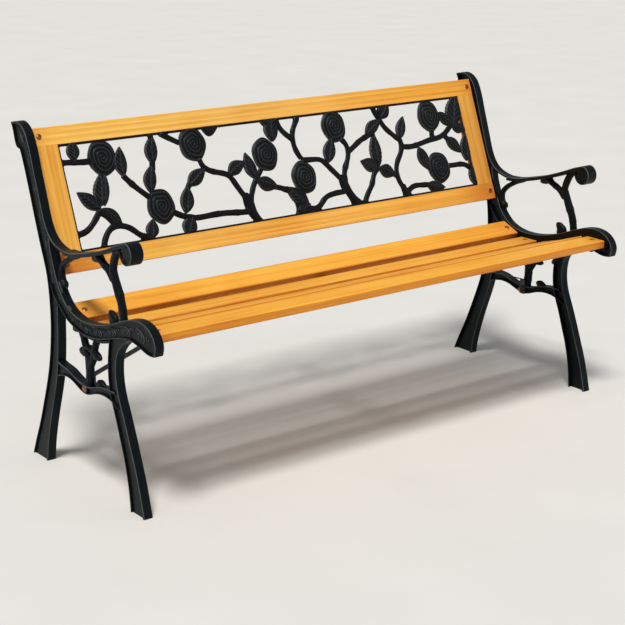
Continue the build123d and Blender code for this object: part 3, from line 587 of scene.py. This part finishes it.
def iron(name, colour, scuffed_and_highlit=(0.10, 0.12, 0.12), edges=(0.60, 0.70), scuff_and_highlight_share=0.5, rough=0.46):
    """Satin black paint on sand-cast iron, paler along its edges: partly scuffed paint, partly a painted
    highlight.

    edges: the pointiness where the paler edge starts, and where it is full."""
    material, tree, shader = new_material(name)
    place = node(tree, "TexCoord").outputs["Object"]
    cloud = node(tree, "TexNoise", Vector=place, Scale=22.0, Detail=5.0, Roughness=0.6).outputs["Fac"]
    pits = node(tree, "TexNoise", Vector=place, Scale=420.0, Detail=4.0, Roughness=0.62).outputs["Fac"]
    sand = node(tree, "TexNoise", Vector=place, Scale=1500.0, Detail=3.0, Roughness=0.6).outputs["Fac"]
    patch = node(tree, "TexNoise", Vector=place, Scale=130.0, Detail=6.0, Roughness=0.7).outputs["Fac"]
    edge = node(tree, "NewGeometry").outputs["Pointiness"]
    # Painted highlight and scuffed paint: pointed edges are mixed toward a pale colour, in broken patches.
    edge_scuff_and_highlight = ramp(tree, edge, [(edges[0], 0.0), (edges[1], 1.0)])
    broken = ramp(tree, patch, [(0.32, 0.45), (0.60, 1.0)])
    amount = node(tree, "Math", dict(operation="MULTIPLY"), Value=edge_scuff_and_highlight)
    tree.links.new(broken, amount.inputs[1])
    shown = node(tree, "Math", dict(operation="MULTIPLY"), Value=amount.outputs["Value"])
    shown.inputs[1].default_value = scuff_and_highlight_share
    dark, light, dust = (tuple(factor * c for c in colour) for factor in (0.70, 1.45, 2.6))
    tone = ramp(tree, cloud, [(0.30, dark), (0.72, light)])
    dusty = mixed(tree, ramp(tree, pits, [(0.50, 0.0), (0.80, 0.35)]), tone, dust)
    paint = mixed(tree, shown.outputs["Value"], dusty, scuffed_and_highlit)
    tree.links.new(paint, shader.inputs["Base Color"])
    gloss = ramp(tree, patch, [(0.25, rough - 0.10), (0.75, rough + 0.14)])
    tree.links.new(gloss, shader.inputs["Roughness"])
    shader.inputs["Specular IOR Level"].default_value = 0.14
    shader.inputs["Specular Tint"].default_value = (0.70, 0.93, 1.0, 1.0)
    bumped(tree, shader, (cloud, 0.25, 0.002), (pits, 0.30, 0.0006), (sand, 0.30, 0.0002))
    return material


def varnished(name, centre, turn, seed, tones_light_and_shade, end_shade, face):
    """Varnished softwood. The grain runs along the board, round a pith well outside it.

    tones_light_and_shade: colour factors along the bench's length, partly the wood's own colour and partly
    painted light and shade.
    darkened: where the painted shade toward each end of the board starts, and by how much.
    face: the axis the wide faces look along; the narrow ones are deeper, as painted shade."""
    material, tree, shader = new_material(name)
    rotation = Euler(turn)
    middle = rotation.to_matrix() @ Vector(centre)
    rng = np.random.default_rng(seed)
    pith = Vector((rng.uniform(-3, 3), rng.uniform(0.035, 0.075),
                   rng.choice([-1, 1]) * rng.uniform(0.012, 0.05)))
    place = node(tree, "TexCoord").outputs["Object"]
    board = node(tree, "Mapping", Vector=place, Rotation=rotation, Location=pith - middle).outputs["Vector"]
    slow = node(tree, "Mapping", Vector=board, Scale=(0.045, 1.0, 1.0)).outputs["Vector"]
    long = node(tree, "Mapping", Vector=board, Scale=(0.016, 1.0, 1.0)).outputs["Vector"]
    kind = dict(wave_type="RINGS", rings_direction="X", wave_profile="SAW")
    rings = node(tree, "TexWave", kind, Vector=slow, Scale=46.0, Distortion=1.4,
                 Detail=2.0, Detail_Scale=2.0, Detail_Roughness=0.40).outputs["Fac"]
    streak = node(tree, "TexNoise", Vector=long, Scale=120.0, Detail=5.0, Roughness=0.6).outputs["Fac"]
    fibre = node(tree, "TexNoise", Vector=long, Scale=900.0, Detail=3.0, Roughness=0.6).outputs["Fac"]
    broad = node(tree, "TexNoise", Vector=board, Scale=3.2, Detail=3.0, Roughness=0.5).outputs["Fac"]
    pale, honey, amber = (0.96, 0.59, 0.125), (0.87, 0.43, 0.048), (0.52, 0.15, 0.008)
    grown = ramp(tree, rings, [(0.0, pale), (0.55, honey), (0.90, amber), (1.0, honey)])
    body = mixed(tree, 0.38, honey, grown)
    streaked = mixed(tree, ramp(tree, streak, [(0.40, 0.0), (0.68, 0.62)]), body, amber)
    lit = mixed(tree, ramp(tree, broad, [(0.35, 0.0), (0.70, 0.50)]), streaked, pale)
    fine = mixed(tree, ramp(tree, fibre, [(0.45, 0.0), (0.78, 0.35)]), lit, amber)
    far = node(tree, "SeparateXYZ", Vector=place).outputs["X"]
    half = HALF_BOARD * MM
    share = node(tree, "MapRange", Value=far, From_Min=-half, From_Max=half).outputs["Result"]
    # Painted light and shade along the bench, mixed with the wood's own colour.
    fine = mixed(tree, 1.0, fine, ramp(tree, share, tones_light_and_shade), blend="MULTIPLY")
    # Painted shade toward each end of the board, next to the castings.
    reach = node(tree, "Math", dict(operation="ABSOLUTE"), Value=far).outputs["Value"]
    end_shade_mask = ramp(tree, reach, [(end_shade[0], 0.0), (0.612, end_shade[1])], smooth=True)
    fine = mixed(tree, end_shade_mask, fine, (0.56, 0.16, 0.014))
    # Painted shade on the narrow faces: darker and redder than the wide ones.
    normal = node(tree, "TexCoord").outputs["Normal"]
    facing = node(tree, "SeparateXYZ", Vector=normal).outputs[face]
    square = node(tree, "Math", dict(operation="ABSOLUTE"), Value=facing).outputs["Value"]
    narrow_face_shade = ramp(tree, square, [(0.45, (0.92, 0.68, 0.40)), (0.80, (1.0, 1.0, 1.0))])
    fine = mixed(tree, 1.0, fine, narrow_face_shade, blend="MULTIPLY")
    tree.links.new(fine, shader.inputs["Base Color"])
    tree.links.new(ramp(tree, streak, [(0.3, 0.34), (0.7, 0.46)]), shader.inputs["Roughness"])
    shader.inputs["Specular IOR Level"].default_value = 0.25
    shader.inputs["Coat Weight"].default_value = 0.12
    shader.inputs["Coat Roughness"].default_value = 0.25
    bumped(tree, shader, (rings, 0.10, 0.0006), (fibre, 0.16, 0.0003))
    return material


def painted_steel(name, colour, flecked, rough, metallic=0.0):
    """Painted or plated steel, with flecks of the metal or rust below."""
    material, tree, shader = new_material(name)
    place = node(tree, "TexCoord").outputs["Object"]
    blotch = node(tree, "TexNoise", Vector=place, Scale=160.0, Detail=6.0, Roughness=0.65).outputs["Fac"]
    fine = node(tree, "TexNoise", Vector=place, Scale=900.0, Detail=3.0).outputs["Fac"]
    tone = mixed(tree, ramp(tree, blotch, [(0.42, 0.0), (0.66, 1.0)]), colour, flecked)
    tree.links.new(tone, shader.inputs["Base Color"])
    gloss = ramp(tree, blotch, [(0.3, rough - 0.08), (0.7, rough + 0.16)])
    tree.links.new(gloss, shader.inputs["Roughness"])
    shader.inputs["Metallic"].default_value = metallic
    bumped(tree, shader, (blotch, 0.3, 0.0004), (fine, 0.25, 0.0001))
    return material


# The faint blue cast of this black is a painted reflection of the sky.
black_iron = iron("black_iron", (0.0024, 0.0031, 0.0040), rough=0.40)
# From here on, the pale colours and edge ranges give scuffed paint along edges and crests, which also
# serves as a painted highlight.
scuffed_and_highlit_edge = iron("scuffed_and_highlit_edge", (0.060, 0.078, 0.076))
scuffed_and_highlit_crest = iron("scuffed_and_highlit_crest", (0.020, 0.022, 0.023))
relief_iron = iron("relief_iron", (0.0040, 0.0050, 0.0056), (0.09, 0.11, 0.11), (0.510, 0.560), 0.6, 0.40)
twig_iron = iron("twig_iron", (0.0026, 0.0029, 0.0036), (0.14, 0.155, 0.155), (0.530, 0.575), 0.55, 0.42)
panel_iron = iron("panel_iron", (0.0040, 0.0036, 0.0046), (0.13, 0.13, 0.14), (0.520, 0.565), 0.6, 0.42)
black_steel = painted_steel("black_steel", (0.014, 0.014, 0.016), (0.03, 0.028, 0.028), 0.42)
aged_steel = painted_steel("aged_steel", (0.34, 0.15, 0.07), (0.12, 0.045, 0.02), 0.36, metallic=0.8)


# ---- end castings ----
def slat_line(down):
    """The line under the slats at a depth below their tops, rear to front."""
    return [on_slat(slat, along, down) for slat in SLATS for along in (SLAT_WIDTH / 2, -SLAT_WIDTH / 2)]


def on_slat(slat, along, down):
    y, z, tilt = slat[0], slat[1], radians(slat[2])
    return (y + along * cos(tilt) + down * sin(tilt), z + along * sin(tilt) - down * cos(tilt))


def behind_back(depth, up):
    return (BACK_FOOT[0] + up * sin(SLOPE) + depth * cos(SLOPE),
            BACK_FOOT[1] + up * cos(SLOPE) - depth * sin(SLOPE))


def scroll():
    """The arm's end: the flange rolled down and under, round a sunken disc."""
    count, sweep = 60, 1.5 * pi
    angles = [pi / 2 + sweep * i / count for i in range(count + 1)]
    line = [(KNOB_CENTRE[0] + KNOB_RADIUS * cos(a), KNOB_CENTRE[1] + KNOB_RADIUS * sin(a)) for a in angles]
    start, end = -KNOB_PROUD, KNOB_WIDE - KNOB_PROUD
    roll = swept(np.array(line), rounded(0.0, KNOB_ROLL, start, end, 1.3), scuffed_and_highlit_corners(1, 2))
    disc = boss(KNOB_CENTRE, KNOB_RADIUS - 4.2, start + 2.5, end - 3.0)
    return [roll, disc]


def frame_solids():
    straps = [
        strap(POST_AND_ARM[:16], FLANGE), strap(SEAT_TOP, FLANGE), strap(BACK_LEG_FRONT, FLANGE),
        strap(FRONT_LEG_FRONT, FLANGE), strap(STRETCHER_TOP, dict(FLANGE, thick=STRETCHER_FLANGE)),
        strap(POST_AND_ARM[13:], ARM, radius=1.6),
        strap(LEG_REAR, RIM, flip=True), strap(SEAT_UNDER, RIM, flip=True),
        strap(FRONT_LEG_REAR, RIM, flip=True), strap(STRETCHER_UNDER, RIM, flip=True),
        strap(POST_REAR, RIM, flip=True, step=2.0),
    ]
    post_front = through(POST_AND_ARM[:11] + SEAT_TOP[1:3])
    post_rear = through(POST_REAR + LEG_REAR[1:6])
    seat_under = through(SEAT_UNDER)
    leg_rear, leg_front = through(LEG_REAR[8:]), through(BACK_LEG_FRONT)
    front_front, front_rear = through(FRONT_LEG_FRONT), through(FRONT_LEG_REAR)
    webs = [
        (shifted(post_front, HALF_FLANGE), post_rear),
        (shifted(through(SEAT_TOP[:6]), HALF_FLANGE), shifted(through(LEG_REAR[4:10]), -HALF_RIM)),
        (shifted(through(SEAT_TOP[3:]), HALF_FLANGE), shifted(seat_under, -HALF_RIM)),
        (shifted(leg_front, HALF_FLANGE), shifted(leg_rear, -HALF_RIM)),
        (shifted(front_front, HALF_FLANGE), shifted(front_rear, -HALF_RIM)),
        (shifted(through(STRETCHER_TOP), HALF_RIM), shifted(through(STRETCHER_UNDER), -HALF_RIM)),
    ]
    solids = straps + [plate(first, second, WEB["start"], WEB["end"]) for first, second in webs]
    under, lower = slat_line(TIMBER_THICK), slat_line(TIMBER_THICK + LEDGE_THICK)
    bed = [line[:-1] + [on_slat(SLATS[-1], -LEDGE_END, down)]
           for line, down in ((under, TIMBER_THICK), (lower, TIMBER_THICK + LEDGE_THICK))]
    solids.append(plate_of(*bed, LEDGE_FROM, LEDGE_TO))
    solids.append(plate(shifted(through(SEAT_TOP[4:18]), HALF_FLANGE), lower, WALL["start"], WALL["end"]))
    deep = TIMBER_THICK + LEDGE_THICK - 0.5
    lug = [[behind_back(depth, up) for up in (0, BACK_HEIGHT)] for depth in (TIMBER_THICK, deep)]
    front_of_wall = [(-3, 0), (-3.5, 60), (-3.5, 290), (-2, BACK_HEIGHT)]
    side = [[behind_back(depth, up) for depth, up in front_of_wall],
            [behind_back(deep, up) for _, up in front_of_wall]]
    solids.append(plate_of(*lug, LEDGE_FROM, LEDGE_TO))
    solids.append(plate_of(*side, WALL["start"], WALL["end"]))
    solids.append(boss(STRETCHER_BOLT, BOSS_RADIUS, 0.0, FLANGE["end"]))
    return solids + scroll()


def twig_solids():
    solids = [branch(line, width, TWIG_MIDDLE, TWIG_HALF_DEPTH, seed=7.3 * i, knots=0.22)
              for i, (line, width) in enumerate(TWIGS)]
    solids += [bud(*shape, TWIG_MIDDLE, TWIG_HALF_DEPTH, seed=3.7 * i) for i, shape in enumerate(BUDS)]
    return solids


def both_ends(name, obj, *materials):
    """The left casting's piece, and its mirror image on the right."""
    obj.name = "left_" + name
    finish_piece(obj, materials, "black_iron", "left_end_casting")
    right = new_object("right_" + name, mirrored(obj.data, "right_" + name))
    finish_piece(right, materials, "black_iron", "right_end_casting")


def make_castings():
    body = fused("casting_frame", frame_solids(), casting_place, floor=True)
    smooth_by_angle(body.data)
    both_ends("casting_frame", body, black_iron, scuffed_and_highlit_edge)
    twigs = new_object("casting_twigs", solid_mesh("twigs", twig_solids(), casting_place))
    melt(twigs, 1.4)
    twigs.data.shade_smooth()
    both_ends("casting_twigs", twigs, twig_iron)
    raised = ornament(RAIL_MIDDLE, 3.0, 1.0) + ornament(POST_MIDDLE, 6.0, 0.8)
    relief = fused("casting_relief", raised, casting_place)
    relief.data.shade_smooth()
    both_ends("casting_relief", relief, relief_iron)


# ---- rose panel ----
def rose(x, up, seed):
    """A bloom of petals wound round each other, as a thick shell with a flat back."""
    around, ringed = 84, 44
    rng = np.random.default_rng(seed)
    phase = rng.uniform(0, 2 * pi)
    lean = rng.uniform(-0.1, 0.1, 2)
    angles = np.arange(around) * 2 * pi / around
    rings, scuffed_and_highlit = [], []
    back = PANEL_BACK
    for share, depth in ((0.05, 0.4), (0.94, 0.0), (0.99, 1.2), (1.0, 3.0)):
        rings.append(rose_ring(x, up, angles, share, np.full(around, back + depth), phase))
        scuffed_and_highlit.append(np.zeros(around, int))
    for i in range(ringed):
        share = 1.0 - i / ringed
        wound = PETAL_TURNS * share**0.8 - angles / (2 * pi)
        wound += 0.10 * np.sin(3 * angles + phase) + 0.06 * np.sin(5 * angles - 2 * phase)
        step = wound % 1.0
        fold = np.where(step < PETAL_CREST, (step / PETAL_CREST) ** 1.6, ((1 - step) / (1 - PETAL_CREST)))
        crown = 5.0 + 4.2 * (1 - share**2) - 2.2 * exp(-(share / 0.10) ** 2)
        edge = min(1.0, (1.0 - share) / 0.07) ** 0.5
        tilt = lean[0] * np.cos(angles) * share + lean[1] * np.sin(angles) * share
        petal = PETAL_HIGH * fold * (0.35 + 0.65 * min(1, share * 3))
        height = back + 3.0 + (crown - 3.0 + petal + 2 * tilt) * edge
        rings.append(rose_ring(x, up, angles, share, height, phase))
        # Petal crests get the second, paler material: scuffed paint and a painted highlight.
        scuffed_and_highlit.append((step > 0.62) & (step < 0.86) & (share < 0.93))
    rings.append(rose_ring(x, up, angles, 0.004, np.full(around, back + 6.0), phase))
    return skin(rings, scuffed_and_highlit)


def rose_ring(x, up, angles, share, out, phase):
    lobes = 1.0 + 0.022 * np.sin(5 * angles + phase) * share
    return np.column_stack([x + ROSE_HALF_WIDTH * share * lobes * np.cos(angles),
                            up + ROSE_HALF_HEIGHT * share * lobes * np.sin(angles), out])


def leaf(base, tip, width, toothed, seed):
    """A leaf with a rib and side veins, hollowed a little and flat behind."""
    base, tip = np.array(base, float), np.array(tip, float)
    length = np.linalg.norm(tip - base)
    along = (tip - base) / length
    side = np.array([-along[1], along[0]])
    rows, columns, veins, teeth = 44, 18, 6.0, 9
    back = PANEL_BACK + 0.6
    rng = np.random.default_rng(seed)
    twist, bow = rng.uniform(-1.0, 1.0), rng.uniform(-0.05, 0.05) * length
    rings, scuffed_and_highlit = [], []
    for i in range(rows + 1):
        t = 0.012 + 0.976 * i / rows
        half = width / 2 * 1.02 * sin(pi * t**0.88) ** 0.95
        if toothed:
            half *= 1.0 + 0.10 * ((t * teeth) % 1.0 - 0.5)
        v = np.linspace(-1.0, 1.0, columns + 1)
        centre = base + along * length * t + side * bow * sin(pi * t)
        flow = (t - 0.30 * np.abs(v) * half / (width / 2)) * veins
        vein = np.exp(-(((flow + 0.5) % 1.0 - 0.5) / 0.12) ** 2) * (1 - np.abs(v)) ** 0.3
        rib = np.exp(-(v * half / 1.1) ** 2)
        dome = 5.2 + 2.6 * np.sqrt(np.maximum(0.0, 1 - v**2)) * min(1.0, half / (0.3 * width))
        front = back + dome + 1.3 * vein * (np.abs(v) < 0.93) + 1.3 * rib + twist * v * 0.5
        front[0] = front[-1] = back + 3.4
        flat = centre + np.outer(v * half, side)
        top = np.column_stack([flat, front])
        under = np.column_stack([flat[::-1], np.full(columns + 1, back)])
        rings.append(np.vstack([top, under]))
        # Vein and rib crests and one edge get the paler material: scuffed paint and a painted highlight.
        crest = (vein > 0.45) & (np.abs(v) < 0.75) | (np.abs(v) < 0.07) | (v < -0.95)
        scuffed_and_highlit.append(np.concatenate([crest, np.zeros(columns + 1, bool)]))
    return skin(rings, scuffed_and_highlit)


def domed(left, right, back, low, high, columns=9):
    """A branch between two outlines, rounded in front and flat behind."""
    left, right = through(left, 3.0), through(right, 3.0)
    count = max(len(left), len(right))
    rings = []
    for a, b in zip(resample(left, count), resample(right, count)):
        share = np.linspace(0, 1, columns)
        flat = a + np.outer(share, b - a)
        front = back + low + high * np.sqrt(np.maximum(0.0, 1 - (2 * share - 1) ** 2))
        top = np.column_stack([flat, front])
        under = np.column_stack([flat[::-1], np.full(columns, back)])
        rings.append(np.vstack([top, under]))
    return skin(rings)


def inside_frame(solid):
    """The solid, flattened against the opening's edge where it would run past it."""
    points, faces, marks = solid
    points = np.array(points, float)
    reach = HALF_OPENING - PANEL_GAP
    points[:, 0] = np.clip(points[:, 0], -reach, reach)
    points[:, 1] = np.clip(points[:, 1], BACK_RAIL + PANEL_GAP, BACK_HEIGHT - BACK_RAIL - PANEL_GAP)
    return points, faces, marks


def panel_rim():
    """The thin iron frame, its outer edge held in the timber's groove."""
    out_x = HALF_OPENING + PANEL_TONGUE
    out_low, out_high = BACK_RAIL - PANEL_TONGUE, BACK_HEIGHT - BACK_RAIL + PANEL_TONGUE
    wide = PANEL_TONGUE + PANEL_RIM
    section = rounded(0.0, wide, PANEL_BACK, -PANEL_DEPTH, 1.0)
    solids = []
    for low in (out_low, out_high - wide):
        line = np.linspace((-out_x, low), (out_x, low), 260)
        solids.append(swept(line, section))
    for low in (-out_x, out_x - wide):
        line = np.linspace((low + wide, out_low), (low + wide, out_high), 56)
        solids.append(swept(line, section))
    return solids


def make_panel():
    middle = PANEL_BACK + 4.0
    stems = [branch(line, STEM_WIDTH, middle, STEM_HALF_DEPTH, seed=2.9 * i, knots=0.12, blunt=False)
             for i, line in enumerate(STEMS)]
    stems += [domed(left, right, PANEL_BACK, 2.0, 6.4) for left, right in TRUNKS]
    solids = [inside_frame(stem) for stem in stems] + panel_rim()
    branches = new_object("rose_panel_branches", solid_mesh("branches", solids, back_place))
    melt(branches, 1.5, smooth=3)
    branches.data.shade_smooth()
    finish_piece(branches, [panel_iron], "black_panel", "rose_panel")
    blooms = [inside_frame(rose(x, up, seed)) for seed, (x, up) in enumerate(ROSES)]
    roses = new_object("rose_panel_roses", solid_mesh("roses", blooms, back_place))
    smooth_by_angle(roses.data, 60)
    finish_piece(roses, [panel_iron, scuffed_and_highlit_crest], "black_panel", "rose_panel")
    foliage = [inside_frame(leaf(*shape, seed)) for seed, shape in enumerate(LEAVES)]
    leaves = new_object("rose_panel_leaves", solid_mesh("leaves", foliage, back_place))
    smooth_by_angle(leaves.data, 60)
    finish_piece(leaves, [panel_iron, scuffed_and_highlit_crest], "black_panel", "rose_panel")


# ---- carried-over parts ----
# colour factors along the bench, left to right: partly the wood's own colour, partly painted light and
# shade, paler on the top rail's left half and darker on the bottom rail's left and the right stile; then
# where the painted shade toward each end starts, and how far
BOARD_TONES_LIGHT_AND_SHADE = {
    "slat": ([(0.0, (0.90, 0.85, 0.68)), (1.0, (0.92, 0.87, 0.68))], (0.53, 0.45)),
    "seat_slat_5": ([(0.0, (0.97, 0.93, 0.66)), (0.6, (0.97, 0.94, 0.64)), (1.0, (0.94, 0.86, 0.50))],
                    (0.56, 0.35)),
    "back_top_rail": ([(0.0, (1.03, 1.10, 1.20)), (0.12, (1.03, 1.20, 1.80)), (0.28, (1.04, 1.26, 2.10)),
                       (0.50, (0.98, 1.03, 1.35)), (0.88, (0.95, 0.87, 0.54)),
                       (1.0, (0.90, 0.80, 0.50))], (0.56, 0.25)),
    "back_bottom_rail": ([(0.0, (0.88, 0.73, 0.55)), (0.16, (0.97, 1.02, 1.10)), (0.60, (0.97, 1.0, 1.05)),
                          (0.80, (0.96, 0.92, 0.72)), (0.95, (0.90, 0.80, 0.52)),
                          (1.0, (0.86, 0.76, 0.48))], (0.46, 0.80)),
    "back_left_stile": ([(0.0, (0.92, 0.92, 0.98)), (1.0, (0.92, 0.92, 0.98))], (0.59, 0.20)),
    "back_right_stile": ([(0.95, (0.90, 0.90, 0.82)), (1.0, (0.72, 0.62, 0.52))], (0.59, 0.20)),
}


def dress(name, material):
    part = nodes[name]
    part.data.materials.clear()
    part.data.materials.append(material)


def dress_timber():
    level, tilted = (0.0, 0.0, 0.0), (SLOPE, 0.0, 0.0)
    upright = (SLOPE, pi / 2, 0.0)
    turns = {"back_top_rail": tilted, "back_bottom_rail": tilted,
             "back_left_stile": upright, "back_right_stile": upright}
    names = [f"seat_slat_{n}" for n in range(1, len(SLATS) + 1)] + list(turns)
    for seed, name in enumerate(names):
        low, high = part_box(name)
        tones_light_and_shade, end_shade = BOARD_TONES_LIGHT_AND_SHADE.get(name, BOARD_TONES_LIGHT_AND_SHADE["slat"])
        face = "Z" if name.startswith("seat") else "Y"
        dress(name, varnished("wood_" + name, (low + high) / 2, turns.get(name, level), 11 + seed,
                              tones_light_and_shade, end_shade, face))


def dress_steel():
    for name in nodes:
        if any(word in name for word in ("bolt", "screw")):
            dress(name, black_steel if name.endswith(("nuts", "washers")) else aged_steel)
    for name in ("seat_support_bar", "left_brace", "right_brace"):
        dress(name, black_steel)


# ---- floor, lights, camera ----
VIEW_AZIMUTH, VIEW_ELEVATION, VIEW_ROLL = radians(-37.078), radians(16.053), radians(-0.414)
CAMERA_PLACE = (-2.0392, -2.6206, 1.2217)
SENSOR, LENS = 36.0, 87.706
SUN_FROM = (-1.1, -0.95, 3.1)
LIT_POINT = (0.0, 0.0, 0.45)


def make_floor():
    mesh = bpy.data.meshes.new("floor")
    half = 30.0
    corners = [(-half, -half, 0), (half, -half, 0), (half, half, 0), (-half, half, 0)]
    mesh.from_pydata(corners, [], [(0, 1, 2, 3)])
    floor = new_object("floor", mesh)
    material, tree, shader = new_material("floor")
    place = node(tree, "TexCoord").outputs["Object"]
    soft = node(tree, "TexNoise", Vector=place, Scale=3.0, Detail=4.0).outputs["Fac"]
    pale = ramp(tree, soft, [(0.3, (0.60, 0.60, 0.59)), (0.7, (0.63, 0.63, 0.62))])
    tree.links.new(pale, shader.inputs["Base Color"])
    shader.inputs["Roughness"].default_value = 0.9
    mesh.materials.append(material)


def area_light(name, position, size, power, colour=(1.0, 1.0, 1.0)):
    light = bpy.data.lights.new(name, "AREA")
    light.shape = "RECTANGLE"
    light.size, light.size_y = size
    light.energy = power
    light.color = colour
    lamp = bpy.data.objects.new(name, light)
    lamp.location = position
    lamp.rotation_euler = (Vector(LIT_POINT) - Vector(position)).to_track_quat("-Z", "Y").to_euler()
    bpy.context.scene.collection.objects.link(lamp)


def make_lights():
    world = bpy.data.worlds.new("studio")
    world.use_nodes = True
    background = world.node_tree.nodes["Background"]
    background.inputs["Color"].default_value = (0.94, 0.97, 1.0, 1.0)
    background.inputs["Strength"].default_value = 0.36
    bpy.context.scene.world = world
    sun = bpy.data.lights.new("key", "SUN")
    sun.energy = 3.25
    sun.angle = radians(14)
    sun.color = (1.0, 0.965, 0.90)
    lamp = bpy.data.objects.new("key", sun)
    lamp.rotation_euler = Vector(SUN_FROM).to_track_quat("Z", "Y").to_euler()
    bpy.context.scene.collection.objects.link(lamp)
    area_light("left", (-3.4, -0.4, 1.8), (0.7, 2.2), 5.0, (0.96, 0.98, 1.0))
    area_light("right", (2.8, -2.6, 1.6), (1.2, 1.6), 8.0)


def make_camera():
    """The reference view: from the bench's left front, a little above it."""
    azimuth, elevation, roll = VIEW_AZIMUTH, VIEW_ELEVATION, VIEW_ROLL
    back = Vector((sin(azimuth) * cos(elevation), -cos(azimuth) * cos(elevation), sin(elevation)))
    right = Vector((0, 0, 1)).cross(back).normalized()
    up = back.cross(right)
    turned = cos(roll) * right + sin(roll) * up
    raised = cos(roll) * up - sin(roll) * right
    data = bpy.data.cameras.new("camera")
    data.sensor_width = SENSOR
    data.lens = LENS
    data.clip_end = 200.0
    camera = bpy.data.objects.new("camera", data)
    turn = Matrix((turned, raised, back)).transposed().to_4x4()
    camera.matrix_world = Matrix.Translation(CAMERA_PLACE) @ turn
    bpy.context.scene.collection.objects.link(camera)
    bpy.context.scene.camera = camera


make_castings()
make_panel()
dress_timber()
dress_steel()
make_floor()
make_lights()
make_camera()
bpy.context.scene.view_settings.view_transform = "Standard"
